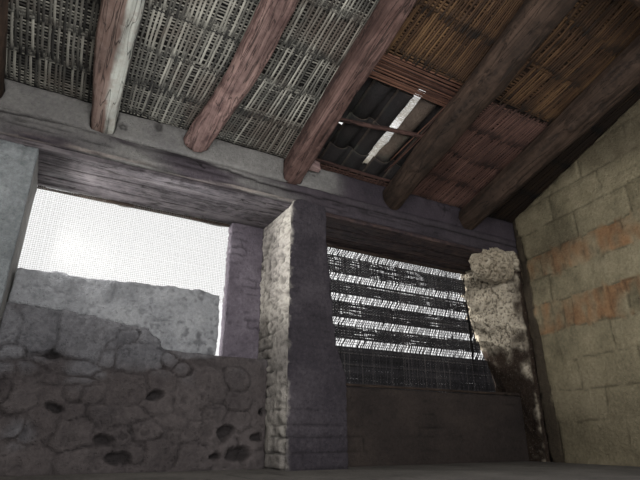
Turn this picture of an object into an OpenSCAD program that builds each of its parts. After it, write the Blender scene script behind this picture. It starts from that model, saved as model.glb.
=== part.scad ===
// Window wall of an adobe house with the lean-to roof slope that it carries:
// two bays, one screened with wire mesh and one with a woven cane blind,
// between two end walls, open at the back.
// X runs along the window wall, +Y points out through it, +Z is up.
// The origin is on the ground, under the middle of the whole.

/* [Plan] */
// Thickness of the two end walls
end_wall_t = 300; // [250:10:400]
// Depth of the room, from the window wall to the open edge of the end walls
room_d = 2500; // [2200:10:2900]
// Thickness of the window wall
wall_t = 600; // [560:5:700]
// Width of the pier at the left end
left_pier_w = 480; // [380:5:600]
// Clear width of the left bay, from pier to pier
left_bay_w = 1800; // [1600:10:2100]
// Width of the centre pier at its foot
centre_pier_w = 505; // [440:5:600]
// Width of the right bay, from pier to jamb at the room's face
right_bay_w = 2165; // [1900:10:2400]
// Width of the right jamb at the room's face
right_jamb_w = 117; // [114:1:140]
// How far the right end wall laps over the jamb's room face
corner_lap = 84; // [60:2:95]
// How far the right end wall's face runs in from the window wall to its open edge
right_splay = 350; // [200:10:380]

/* [Heights above the floor] */
// Thickness of the floor screed, which lies on the ground
floor_t = 50; // [40:5:80]
// Underside of the lintels over both bays
soffit_h = 1950; // [1850:10:2100]
// Thickness of the lintel timbers
lintel_t = 45; // [35:1:48]
// Height of the rubble wall at the left end of its bay
rubble_left_h = 1000; // [950:10:1060]
// Height of the rubble wall where it starts to step down
rubble_mid_h = 950; // [880:10:1000]
// Height of the rubble wall beside the centre pier
rubble_right_h = 765; // [700:5:820]
// Height of the window sill in the left bay
sill_h = 1235; // [1150:5:1300]
// Height of the low wall in the right bay
low_wall_h = 585; // [500:5:600]
// Underside of the canes at the room's face of the window wall
cane_h = 2412; // [2380:2:2500]

/* [Left bay] */
// How far the rubble wall is set back from the room's face
rubble_set_back = 290; // [240:5:340]
// How far the rendered sill wall is set back from the rubble wall's face
cap_set_back = 12; // [5:1:30]
// Open slit to the left of the rendered sill wall
left_slit_w = 14; // [8:1:30]
// Open slit to the right of the rendered sill wall
right_slit_w = 112; // [80:1:130]
// Width of the brick nib between window and centre pier
nib_w = 300; // [240:5:340]
// How far the brick nib is set back from the room's face
nib_set_back = 495; // [470:5:500]

/* [Centre pier] */
// How far the pier stands proud of the wall's face
pier_proud = 40; // [20:1:60]
// Width of the pier at its head
pier_top_w = 335; // [300:5:400]
// Height at which the pier starts to narrow
pier_step_h = 620; // [610:5:700]
// Rise of the pier's pointed head above the soffit
pier_head_rise = 85; // [60:1:120]

/* [Right bay] */
// How far the low wall is set back from the room's face
low_wall_set_back = 200; // [150:5:260]
// Radius of the pole along the low wall's edge
sill_pole_r = 17; // [12:1:22]
// How far the jamb bulges into the bay at the outer face
jamb_bulge = 185; // [120:5:220]
// How far the jamb is worn back at its foot, at the outer face
jamb_wear = 110; // [80:1:112]
// How far the jamb's head laps over the end of the lintels
jamb_head_w = 215; // [150:5:240]
// How far the jamb's head stands proud of the wall's face
jamb_head_t = 45; // [25:1:60]
// Rise of the jamb's head above the soffit
jamb_head_rise = 82; // [60:1:110]

/* [Mesh and blind] */
// Distance of the screens from the room's face of the wall
screen_y = 562; // [545:1:565]
// Thickness of the wires in the mesh
wire_t = 2; // [2:0.5:4]
// Spacing of the wires
wire_pitch = 60; // [50:1:90]
// Height of the strip that the mesh is nailed to
nail_strip_h = 25; // [20:1:40]
// Thickness of the strip that the mesh is nailed to
nail_strip_t = 30; // [20:1:32]
// Radius of the pole that the blind hangs from
rail_r = 19; // [14:1:24]
// Thickness of the woven blind
blind_t = 10; // [8:1:14]
// Height of each open band in the blind
blind_gap_h = 70; // [50:1:80]
// Width of the upright canes that run on through the open bands
upright_w = 12; // [8:1:14]
// Spacing of the upright canes
upright_pitch = 62; // [50:1:80]

/* [Roof] */
// Slope of the roof, in degrees
pitch = 16; // [14:0.5:18]
// Thickness of the woven cane mats
mat_t = 20; // [16:1:24]
// Depth of the rafters where they bear on the wall
bearing_d = 215; // [212:1:220]
// Centre of the first rafter, from the left end wall
rafter_1_in = 145; // [130:5:180]
// Distance from the first rafter to the second, at the wall
rafter_2_on = 676; // [600:2:720]
// Distance from the second rafter to the third, at the wall
rafter_3_on = 642; // [600:2:700]
// Distance from the third rafter to the fourth, at the wall
rafter_4_on = 861; // [800:1:900]
// Distance from the fourth rafter to the fifth, at the wall
rafter_5_on = 1051; // [1000:1:1100]
// Distance from the fifth rafter to the sixth, at the wall
rafter_6_on = 950; // [900:5:1000]
// How far the rafters run past the outer face, along the slope
rafter_tail = 170; // [120:5:220]
// Radius of the ridge beam
ridge_r = 105; // [95:1:120]
// How far the ridge beam reaches into the end walls
ridge_bearing = 180; // [120:5:220]
// Distance of the ridge beam's axis from the open edge of the end walls
ridge_in = 170; // [150:5:220]

/* [Tiles] */
// Wanted spacing of the tile rows
tile_pitch = 229; // [215:1:235]
// Outer radius of a channel tile
channel_r = 105; // [98:1:108]
// Outer radius of a cover tile
cover_r = 80; // [76:1:84]
// Thickness of a tile
tile_t = 14; // [12:1:16]
// How far the tiles run past the outer face, along the slope
eave = 260; // [230:5:320]
// How far the tiles run past the open edge of the end walls, along the slope
verge_top = 60; // [50:1:100]

/* [Hole in the roof] */
// Upper edge of the hole, measured up the slope from the window wall
hole_top = 950; // [900:5:1000]
// Lower edge of the hole, measured up the slope from the window wall
hole_foot = 75; // [70:1:100]
// Distance of the slipped cover row from the rafter at the hole's left edge
slip_on = 690; // [640:10:720]
// Radius of the cross canes left over the hole
cross_cane_r = 8; // [6:0.5:9]
// Spacing of the cross canes
cross_cane_pitch = 54; // [45:1:60]
// Number of cross canes left
cross_canes_n = 5; // [3:1:6]
// Radius of the round batten across the hole
batten_r = 22; // [18:1:26]
// Width of the flat batten at the foot of the hole
flat_batten_w = 36; // [30:1:45]

/* [Hidden] */

$fn = 48;
// Clearance between pieces that touch
clr = 0.3;
// Space between the end of one mat and the next
mat_gap = 2;
// Overlap used only to cut right through a solid
cut = 50;

// Stations along X
room_w = left_pier_w + left_bay_w + centre_pier_w + right_bay_w + right_jamb_w;
total_w = room_w + 2 * end_wall_t;
x_out_l = -total_w / 2;
x_room_l = x_out_l + end_wall_t;
x_bay_l = x_room_l + left_pier_w;
x_pier_l = x_bay_l + left_bay_w;
x_pier_r = x_pier_l + centre_pier_w;
x_jamb = x_pier_r + right_bay_w;
x_room_r = x_jamb + right_jamb_w;
x_out_r = x_room_r + end_wall_t;
// The corner where the right end wall's face meets the window wall
x_corner = x_room_r - corner_lap;

// The roof is drawn in its own slope: x along the wall, u up the slope from
// the room's face of the window wall, n square to the canes' underside.
u_eave = -(wall_t / cos(pitch) + eave);
u_tail = -(wall_t / cos(pitch) + rafter_tail);
u_tiles = room_d / cos(pitch) + verge_top;
u_mats = u_tiles - 40;
u_rafters = room_d / cos(pitch) - 40;

// Heights in the tile layer, above the canes' underside
channel_n = mat_t + clr + channel_r;
channel_half = channel_r * sin(60);
rows = round((total_w - 2 * cover_r) / tile_pitch);
row_pitch = (total_w - 2 * (cover_r + 4)) / rows;
cover_foot = row_pitch / 2 - cover_r + tile_t;
cover_n = channel_n - sqrt(pow(channel_r - tile_t, 2) - pow(cover_foot, 2)) + clr;
crown_n = cover_n + cover_r;

// Stations along Y: the tiles' two ends are as far in front of the origin as behind it
y_in = (u_tiles * cos(pitch) - (mat_t + clr) * sin(pitch)
        + u_eave * cos(pitch) - crown_n * sin(pitch)) / 2;
y_out = y_in + wall_t;
y_back = y_in - room_d;

// Heights above the ground
z_soffit = floor_t + soffit_h;
z_lintel_top = z_soffit + lintel_t;
z_cane = floor_t + cane_h;

// Height of a line in the slope, n above the canes' underside, at a place along Y
function z_slope(y, n = 0) = z_cane + n / cos(pitch) - (y - y_in) * tan(pitch);

module on_slope() {
    translate([0, y_in, z_cane]) rotate([-pitch, 0, 0]) mirror([0, 1, 0]) children();
}

// A solid between two places along X whose outline is drawn in Y and Z
module side_profile(x0, x1, outline) {
    translate([x0, 0, 0]) rotate([90, 0, 90]) linear_extrude(x1 - x0) polygon(outline);
}

// A solid between two places along Y whose outline is drawn in X and Z
module front_profile(y0, y1, outline) {
    translate([0, y1, 0]) rotate([90, 0, 0]) linear_extrude(y1 - y0) polygon(outline);
}

module box(low, high) {
    translate(low) cube(high - low);
}

// Rafters: for each, how square its section is (1 is round), then its shape at
// stations up the slope: [distance from the wall, sideways bend, width, depth]
RAFTER_SQUARE = [1, 0.4, 1, 0.45, 1, 1];
RAFTER_SHAPE = [
    [[-800, 0, 130, 190], [0, 0, 140, 200], [1000, -15, 150, 205], [2000, 10, 165, 215],
        [2600, 0, 170, 220]],
    [[-800, 0, 165, 205], [0, 0, 172, 215], [500, -42, 212, 210], [1000, -50, 224, 215],
        [2000, -85, 232, 220], [2600, -85, 236, 225]],
    [[-800, -10, 190, 165], [0, 15, 205, 175], [230, 62, 215, 180], [540, 112, 205, 185],
        [850, 138, 215, 185], [1270, 152, 210, 190], [2000, 150, 205, 205], [2600, 130, 205, 215]],
    [[-800, 20, 165, 215], [0, -5, 180, 220], [500, -22, 175, 215], [920, -35, 168, 210],
        [1560, -40, 165, 215], [2600, -65, 170, 225]],
    [[-800, 30, 200, 215], [-100, -5, 215, 225], [760, -78, 262, 235], [1090, -92, 255, 230],
        [1400, -100, 290, 250], [1860, -150, 285, 240], [2600, -180, 280, 245]],
    [[-800, 20, 225, 220], [0, 0, 235, 235], [700, -20, 250, 245], [1170, -30, 265, 250],
        [1960, -80, 280, 255], [2600, -120, 285, 260]]
];
RAFTER_SIDES = 12;
RAFTER_RINGS = 15;
// How much of the log is hewn away flat under the mats
hewn = 8;
// Centre of each rafter at the wall
RAFTER_X = [for (i = 0, x = x_room_l + rafter_1_in; i < 6;
    x = x + [rafter_2_on, rafter_3_on, rafter_4_on, rafter_5_on, rafter_6_on, 0][i], i = i + 1) x];

function column(table, j) = [for (row = table) [row[0], row[j]]];
function rafter_x(i, u) = RAFTER_X[i] + lookup(u, column(RAFTER_SHAPE[i], 1));

// One ring of a rafter, a superellipse around its axis
function rafter_ring(i, u, grow) =
    let (
        half_w = lookup(u, column(RAFTER_SHAPE[i], 2)) / 2 + grow,
        d = lookup(u, column(RAFTER_SHAPE[i], 3)),
        half_d = d / 2 + grow
    )
    [for (k = [0 : RAFTER_SIDES - 1])
        let (c = cos(-360 * k / RAFTER_SIDES), s = sin(-360 * k / RAFTER_SIDES))
        [
            rafter_x(i, u) + half_w * sign(c) * pow(abs(c), RAFTER_SQUARE[i]),
            u,
            hewn - d / 2 + half_d * sign(s) * pow(abs(s), RAFTER_SQUARE[i])
        ]];

// The log itself, swept through its rings from tail to head
module log_body(i, u0, u1, grow = 0) {
    rings = [for (j = [0 : RAFTER_RINGS - 1])
        rafter_ring(i, u0 + (u1 - u0) * j / (RAFTER_RINGS - 1), grow)];
    last = (RAFTER_RINGS - 1) * RAFTER_SIDES;
    polyhedron(
        points = [for (ring = rings) each ring],
        faces = concat(
            [[for (k = [0 : RAFTER_SIDES - 1]) k]],
            [[for (k = [0 : RAFTER_SIDES - 1]) last + RAFTER_SIDES - 1 - k]],
            [for (j = [0 : RAFTER_RINGS - 2]) for (k = [0 : RAFTER_SIDES - 1])
                for (f = [
                    [j * RAFTER_SIDES + k, (j + 1) * RAFTER_SIDES + k,
                        j * RAFTER_SIDES + (k + 1) % RAFTER_SIDES],
                    [j * RAFTER_SIDES + (k + 1) % RAFTER_SIDES, (j + 1) * RAFTER_SIDES + k,
                        (j + 1) * RAFTER_SIDES + (k + 1) % RAFTER_SIDES]
                ]) f]
        )
    );
}

module slab(u0, u1, n0, n1) {
    translate([x_out_l - cut, u0, n0]) cube([total_w + 2 * cut, u1 - u0, n1 - n0]);
}

// The earth head of the window wall, between the lintels and the rafters
module head_block(grow = 0) {
    side_profile(x_room_l - grow, x_room_r + grow, [
        [y_in - grow, z_lintel_top],
        [y_out + grow, z_lintel_top],
        [y_out + grow, z_slope(y_out, -bearing_d) + grow],
        [y_in - grow, z_slope(y_in, -bearing_d) + grow]
    ]);
}

// Axis of the ridge beam, just deep enough to notch the thinnest rafter
ridge_y = y_back + ridge_in;
ridge_z = z_slope(ridge_y, -185) - ridge_r / cos(pitch);
module ridge_log(r, reach) {
    translate([x_room_l - reach, ridge_y, ridge_z]) rotate([0, 90, 0])
        cylinder(r = r, h = room_w + 2 * reach);
}

// The round batten lies across the hole, a little askew, let into two rafters
batten_u_left = 505;
batten_u_right = 650;
module batten_log(r) {
    x0 = rafter_x(3, batten_u_left);
    x1 = rafter_x(4, batten_u_right);
    turn = atan2(batten_u_right - batten_u_left, x1 - x0);
    translate([x0, batten_u_left, mat_t - batten_r - clr]) rotate([0, 0, turn]) rotate([0, 90, 0])
        cylinder(r = r, h = norm([x1 - x0, batten_u_right - batten_u_left]));
}

module rafter(i, tone) {
    color(tone) difference() {
        on_slope() difference() {
            log_body(i, u_tail, u_rafters);
            slab(u_eave - cut, u_tiles + cut, 0, 2 * cut);
            if (i == 3 || i == 4) batten_log(batten_r + clr);
        }
        head_block(clr);
        ridge_log(ridge_r + clr, 0);
    }
}

// Masonry

// The screed runs on into both bays, up to the walls that close their feet
module floor_screed() {
    y_rubble = y_in + rubble_set_back;
    y_low = y_in + low_wall_set_back;
    color("darkgray") linear_extrude(floor_t) polygon([
        [x_room_l, y_back], [x_corner - right_splay, y_back], [x_corner, y_in],
        [x_jamb, y_in], [x_jamb + low_wall_set_back * jamb_wear / wall_t, y_low], [x_pier_r, y_low],
        [x_pier_r, y_in - pier_proud], [x_pier_l, y_in - pier_proud],
        [x_pier_l, y_rubble], [x_bay_l, y_rubble], [x_bay_l, y_in], [x_room_l, y_in]
    ]);
}

module end_wall(x0, x1) {
    difference() {
        side_profile(x0, x1, [
            [y_back, 0], [y_out, 0], [y_out, z_slope(y_out)], [y_back, z_slope(y_back)]
        ]);
        ridge_log(ridge_r + clr, ridge_bearing + clr);
    }
}

module left_end_wall() {
    color("tan") end_wall(x_out_l, x_room_l);
}

// The right end wall's face is splayed, so the wall thickens towards its open edge
module right_end_wall() {
    color("darkkhaki") intersection() {
        end_wall(x_corner - right_splay, x_out_r);
        linear_extrude(z_slope(y_back) + cut) polygon([
            [x_out_r, y_back], [x_out_r, y_out], [x_room_r, y_out], [x_room_r, y_in],
            [x_corner, y_in], [x_corner - right_splay, y_back]
        ]);
    }
}

module left_pier() {
    color("rosybrown") box([x_room_l, y_in, 0], [x_bay_l, y_out, z_soffit]);
}

// The centre pier's right edge narrows upwards
z_step = floor_t + pier_step_h;
x_top_r = x_pier_l + pier_top_w;
shoulder = (x_pier_r - x_top_r) / 2;
PIER_EDGE = [
    [x_pier_r, z_step], [x_top_r + shoulder, z_step + 240],
    [x_top_r + shoulder * 0.6, z_step + 590], [x_top_r, z_step + 1090], [x_top_r, z_soffit]
];

// The centre pier ends in a pointed head that laps over the lintels
module centre_pier() {
    outline = concat([[x_pier_l, z_soffit], [x_pier_l, 0], [x_pier_r, 0]], PIER_EDGE);
    head = [
        [x_pier_l + 8, z_soffit], [x_top_r, z_soffit], [x_top_r - 6, z_soffit + pier_head_rise * 0.75],
        [x_pier_l + pier_top_w * 0.3, z_soffit + pier_head_rise],
        [x_pier_l + 30, z_soffit + pier_head_rise * 0.7]
    ];
    color("rosybrown") {
        front_profile(y_in - pier_proud, y_out, outline);
        front_profile(y_in - pier_proud, y_in - clr, head);
    }
}

module brick_nib() {
    color("rosybrown")
        box([x_pier_l - nib_w, y_in + nib_set_back, floor_t + rubble_right_h],
            [x_pier_l, y_out, z_soffit]);
}

// Plan of the right jamb at one height: worn back at its foot, bulging above
function jamb_ring(z, bulge) = [
    [x_jamb, y_in, z], [x_room_r, y_in, z], [x_room_r, y_out, z], [x_jamb - bulge, y_out, z]
];

// Heights above the ground, each with the bulge there
JAMB_LEVELS = [
    [0, -jamb_wear], [floor_t + low_wall_h, -jamb_wear], [floor_t + low_wall_h + 150, -jamb_wear],
    [floor_t + 1010, -10], [floor_t + 1215, jamb_bulge * 0.4], [floor_t + 1425, jamb_bulge * 0.95],
    [floor_t + 1700, jamb_bulge], [z_soffit, jamb_bulge * 0.95]
];

module jamb_body() {
    n = len(JAMB_LEVELS);
    rings = [for (l = JAMB_LEVELS) jamb_ring(l[0], l[1])];
    polyhedron(
        points = [for (ring = rings) each ring],
        faces = concat(
            [[0, 1, 2, 3]],
            [[for (k = [3 : -1 : 0]) 4 * (n - 1) + k]],
            [for (j = [0 : n - 2]) for (k = [0 : 3]) for (f = [
                [4 * j + k, 4 * (j + 1) + k, 4 * j + (k + 1) % 4],
                [4 * j + (k + 1) % 4, 4 * (j + 1) + k, 4 * (j + 1) + (k + 1) % 4]
            ]) f]
        )
    );
}

// The jamb's rounded head laps over the face of the lintels beside it
module jamb_head() {
    right = x_corner - right_splay * jamb_head_t / room_d - clr;
    left = x_jamb - jamb_head_w;
    foot = z_soffit - 130;
    y_face = y_in - jamb_head_t;
    front_profile(y_face, y_in, [[right, z_soffit], [right, foot], [x_jamb, foot], [x_jamb, z_soffit]]);
    front_profile(y_face, y_in - clr, [
        [right, z_soffit + jamb_head_rise * 0.75], [right, foot], [x_jamb, foot],
        [x_jamb - jamb_head_w * 0.45, z_soffit - 15],
        [left, z_soffit + 12], [left, z_soffit + jamb_head_rise * 0.4],
        [x_jamb - jamb_head_w * 0.7, z_soffit + jamb_head_rise * 0.85],
        [x_jamb - jamb_head_w * 0.3, z_soffit + jamb_head_rise]
    ]);
}

module right_jamb() {
    color("peachpuff") {
        jamb_body();
        jamb_head();
    }
}

// The rubble wall and the rendered wall on it share this broken line
x_cap_l = x_bay_l + left_slit_w;
x_cap_r = x_pier_l - nib_w - right_slit_w;
function rubble_line() = [
    [x_bay_l, floor_t + rubble_left_h],
    [x_bay_l + 0.3 * left_bay_w, floor_t + rubble_mid_h],
    [x_bay_l + 0.48 * left_bay_w, floor_t + rubble_mid_h - 45],
    [x_bay_l + 0.56 * left_bay_w, floor_t + rubble_right_h + 10],
    [x_cap_r, floor_t + rubble_right_h],
    [x_pier_l, floor_t + rubble_right_h]
];

module rubble_wall() {
    color("gray") front_profile(y_in + rubble_set_back, y_out,
        concat([[x_pier_l, 0], [x_bay_l, 0]], rubble_line()));
}

module rendered_sill_wall() {
    color("lightgray") intersection() {
        front_profile(y_in + rubble_set_back + cap_set_back, y_out,
            concat([[x_pier_l, floor_t + sill_h], [x_bay_l, floor_t + sill_h]], rubble_line()));
        box([x_cap_l, y_in, 0], [x_cap_r, y_out, z_soffit]);
    }
}

// The low wall closes the foot of the right bay against the splayed jamb
module low_wall() {
    splay = jamb_wear / wall_t;
    color("dimgray") linear_extrude(floor_t + low_wall_h) polygon([
        [x_pier_r, y_in + low_wall_set_back],
        [x_jamb + low_wall_set_back * splay - clr, y_in + low_wall_set_back],
        [x_jamb + jamb_wear - clr, y_out],
        [x_pier_r, y_out]
    ]);
}

module sill_pole() {
    color("burlywood") translate([x_pier_r + clr, y_in + low_wall_set_back + sill_pole_r + 4,
        floor_t + low_wall_h + sill_pole_r])
        rotate([0, 90, 0])
            cylinder(r = sill_pole_r, h = right_bay_w + jamb_wear * low_wall_set_back / wall_t - 2);
}

// Three hewn timbers side by side over each bay
module lintels(x0, x1) {
    gap = 6;
    timber_w = (wall_t - 2 * gap) / 3;
    for (k = [0 : 2])
        box([x0, y_in + k * (timber_w + gap), z_soffit],
            [x1, y_in + k * (timber_w + gap) + timber_w, z_lintel_top]);
}

x_lintel_joint = x_pier_l + pier_top_w * 0.5;
module lintels_left() {
    color("sienna") lintels(x_room_l, x_lintel_joint - clr);
}

module lintels_right() {
    color("sienna") lintels(x_lintel_joint + clr, x_room_r);
}

module wall_head() {
    color("tan") head_block();
}

// Earth packed between the rafters, up to the mats
module rafter_fill() {
    color("tan") difference() {
        side_profile(x_room_l, x_room_r, [
            [y_in, z_slope(y_in, -bearing_d)], [y_out, z_slope(y_out, -bearing_d)],
            [y_out, z_slope(y_out)], [y_in, z_slope(y_in)]
        ]);
        on_slope() for (i = [0 : 5]) log_body(i, u_tail, u_rafters, clr);
    }
}

// Roof

module ridge_beam() {
    color("saddlebrown") ridge_log(ridge_r, ridge_bearing);
}

// Edge of a mat along the middle of a rafter, or along an end wall
function mat_edge(i, u0, u1, side) = [for (j = [0 : 4])
    let (u = u0 + (u1 - u0) * j / 4)
    [i < 0 ? x_out_l + mat_gap : i > 5 ? x_out_r - mat_gap : rafter_x(i, u) + side * mat_gap / 2, u]];

// A mat between two rafters, cut off square or with a torn edge
module cane_mat(i, u0, u1, torn = [], torn_at_foot = false) {
    left = mat_edge(i, u0, u1, 1);
    right = mat_edge(i + 1, u1, u0, -1);
    outline = torn_at_foot ? concat(left, right, torn) : concat(left, torn, right);
    color("peru") on_slope() linear_extrude(mat_t) polygon(outline);
}

// A torn edge between the fourth and fifth rafters, as stubs of uneven length
function torn_edge(u, reach, from, to) = [for (j = [1 : 8])
    [
        rafter_x(3, u) + from + (to - from) * j / 9,
        u + (j % 2 == 0 ? reach : reach * 0.25) * (1 + 0.5 * sin(137 * j))
    ]];

module cane_mat_1() { cane_mat(-1, u_eave + 20, u_mats); }
module cane_mat_2() { cane_mat(0, u_eave + 20, u_mats); }
module cane_mat_3() { cane_mat(1, u_eave + 20, u_mats); }
module cane_mat_4() { cane_mat(2, u_eave + 20, u_mats); }
module cane_mat_5_upper() {
    cane_mat(3, hole_top + (cross_canes_n - 0.4) * cross_cane_pitch, u_mats);
}
module cane_mat_5_lower() {
    u_edge = hole_foot - flat_batten_w - 45;
    cane_mat(3, u_eave + 20, u_edge, torn_edge(u_edge, 24, 80, 960));
}
module cane_mat_6() { cane_mat(4, u_eave + 20, u_mats); }
module cane_mat_7() { cane_mat(5, u_eave + 20, u_mats); }

module cross_canes() {
    color("sienna") on_slope() for (j = [0 : cross_canes_n - 1]) {
        u = hole_top + cross_cane_r + j * cross_cane_pitch;
        x0 = rafter_x(3, u) + mat_gap;
        translate([x0, u, cross_cane_r]) rotate([0, 90, 0])
            cylinder(r = cross_cane_r, h = rafter_x(4, u) - mat_gap - x0);
    }
}

module round_batten() {
    color("sienna") on_slope() batten_log(batten_r);
}

module flat_batten() {
    x0 = rafter_x(3, hole_foot) + mat_gap;
    x1 = rafter_x(4, hole_foot) - mat_gap;
    color("sienna") on_slope()
        translate([x0, hole_foot - flat_batten_w, 0]) cube([x1 - x0, flat_batten_w, mat_t]);
}

// A row of tiles from one place up the slope to another
module tile_row(x, n, u0, u1) {
    translate([x, u1, n]) rotate([90, 0, 0]) linear_extrude(u1 - u0) children();
}

module channel_profile() {
    intersection() {
        difference() {
            circle(r = channel_r, $fn = 96);
            circle(r = channel_r - tile_t, $fn = 96);
        }
        translate([-channel_half, -2 * channel_r]) square([2 * channel_half, 1.5 * channel_r]);
    }
}

module cover_profile() {
    intersection() {
        difference() {
            circle(r = cover_r, $fn = 96);
            circle(r = cover_r - tile_t, $fn = 96);
        }
        translate([-cover_r, 0]) square([2 * cover_r, cover_r]);
    }
}

function cover_x(k) = x_out_l + cover_r + 4 + k * row_pitch;
// The cover row that has slipped off over the hole
bare_row = round((rafter_x(3, 500) + slip_on - cover_x(0)) / row_pitch);

// Where the channels beside the slipped row are broken: distance from that row's middle, then
// distance down the slope from the hole's upper edge
CHANNEL_BREAKS = [
    [[-70, 0], [-20, 10], [30, -50], [40, -310], [45, -365], [-50, -370], [-55, -190]],
    [[-60, -410], [45, -405], [58, -530], [35, -620], [10, -660], [-45, -650], [-68, -550]]
];

module channel_break(outline) {
    linear_extrude(2 * channel_r)
        polygon([for (p = outline) [cover_x(bare_row) + p[0], hole_top + p[1]]]);
}

module tile_channels() {
    color("indianred") on_slope() for (k = [0 : rows - 1])
        difference() {
            tile_row(cover_x(k) + row_pitch / 2, channel_n, u_eave, u_tiles) channel_profile();
            if (k == bare_row || k == bare_row - 1)
                for (outline = CHANNEL_BREAKS) channel_break(outline);
        }
}

// Gaps in a row of covers: the long one left by the slipped covers, and two short ones beside it
function cover_gaps(k) = k == bare_row ? [[hole_foot + 70, hole_top + 30]]
    : k == bare_row - 2 ? [[hole_top - 525, hole_top - 495], [hole_top - 20, hole_top + 10]] : [];

module tile_covers() {
    color("chocolate") on_slope() for (k = [0 : rows]) {
        gaps = cover_gaps(k);
        feet = concat([u_eave], [for (gap = gaps) gap[1]]);
        heads = concat([for (gap = gaps) gap[0]], [u_tiles]);
        for (j = [0 : len(gaps)]) tile_row(cover_x(k), cover_n, feet[j], heads[j]) cover_profile();
    }
}

// Screens

x_mesh_l = x_bay_l + clr;
x_mesh_r = x_pier_l - nib_w - clr;
module mesh_screen() {
    w = x_mesh_r - x_mesh_l;
    h = z_soffit - clr - (floor_t + sill_h);
    cols = floor(w / wire_pitch);
    rows_of_wire = floor(h / wire_pitch);
    color("silver") translate([x_mesh_l, y_in + screen_y, floor_t + sill_h]) {
        for (k = [0 : cols]) translate([k * (w - wire_t) / cols, 0, 0]) cube([wire_t, wire_t, h]);
        for (k = [0 : rows_of_wire])
            translate([0, 0, k * (h - wire_t) / rows_of_wire]) cube([w, wire_t, wire_t]);
    }
}

module nail_strip() {
    y0 = y_in + screen_y + wire_t + clr;
    color("sienna")
        box([x_mesh_l, y0, z_soffit - nail_strip_h - clr], [x_mesh_r, y0 + nail_strip_t, z_soffit - clr]);
}

module blind_rail() {
    color("burlywood")
        translate([x_pier_l + pier_top_w + clr, y_in + screen_y - rail_r - clr, z_soffit - rail_r - clr])
        rotate([0, 90, 0])
            cylinder(r = rail_r, h = x_jamb - jamb_bulge * 0.9 - x_pier_l - pier_top_w - 2 * clr);
}

// The blind is cut to the pier on its left and to the worn jamb on its right
blind_edge_gap = 8;
y_blind = y_in + screen_y + clr;
function jamb_x(bulge) =
    x_jamb - bulge * (bulge > 0 ? screen_y + clr + blind_t : screen_y + clr) / wall_t;
module blind_outline() {
    z0 = floor_t + low_wall_h + clr;
    front_profile(y_blind - cut, y_blind + cut, concat(
        [for (p = PIER_EDGE) [p[0] + clr, max(p[1], z0)]],
        [for (k = [len(JAMB_LEVELS) - 1 : -1 : 1]) [jamb_x(JAMB_LEVELS[k][1]) - blind_edge_gap,
            max(JAMB_LEVELS[k][0], z0)]],
        [[x_pier_r + clr, z0]]
    ));
}

// Centres of the open bands, as shares of the blind's height
OPEN_AT = [0.315, 0.458, 0.626, 0.773, 0.956];

// The blind: dense woven bands, with open bands between them where only the upright canes run on
module cane_blind() {
    z0 = floor_t + low_wall_h + clr;
    z1 = z_soffit - clr;
    centres = [for (share = OPEN_AT) z0 + share * (z1 - z0)];
    feet = concat([z0], [for (z = centres) z + blind_gap_h / 2]);
    heads = concat([for (z = centres) z - blind_gap_h / 2], [z1]);
    color("peru") intersection() {
        blind_outline();
        translate([0, y_blind, 0]) {
            for (k = [0 : len(centres)])
                box([x_top_r, 0, feet[k]], [x_room_r, blind_t, heads[k]]);
            for (x = [x_top_r + upright_pitch / 2 : upright_pitch : x_room_r])
                translate([x, 2, z0]) cube([upright_w, blind_t - 4, z1 - z0]);
        }
    }
}

floor_screed();
left_end_wall();
right_end_wall();
left_pier();
centre_pier();
brick_nib();
right_jamb();
rubble_wall();
rendered_sill_wall();
low_wall();
sill_pole();
lintels_left();
lintels_right();
wall_head();
rafter_fill();
rafter(0, "sienna");  // rafter_1
rafter(1, "gray");  // rafter_2
rafter(2, "rosybrown");  // rafter_3
rafter(3, "sienna");  // rafter_4
rafter(4, "saddlebrown");  // rafter_5
rafter(5, "saddlebrown");  // rafter_6
ridge_beam();
cane_mat_1();
cane_mat_2();
cane_mat_3();
cane_mat_4();
cane_mat_5_upper();
cane_mat_5_lower();
cane_mat_6();
cane_mat_7();
cross_canes();
round_batten();
flat_batten();
tile_channels();
tile_covers();
mesh_screen();
nail_strip();
cane_blind();
blind_rail();
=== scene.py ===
"""The looks of an adobe window wall with its pole and cane roof slope.

The camera stands in the room, low down, and looks up at the window wall and the canes.
"""

import math

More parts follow.
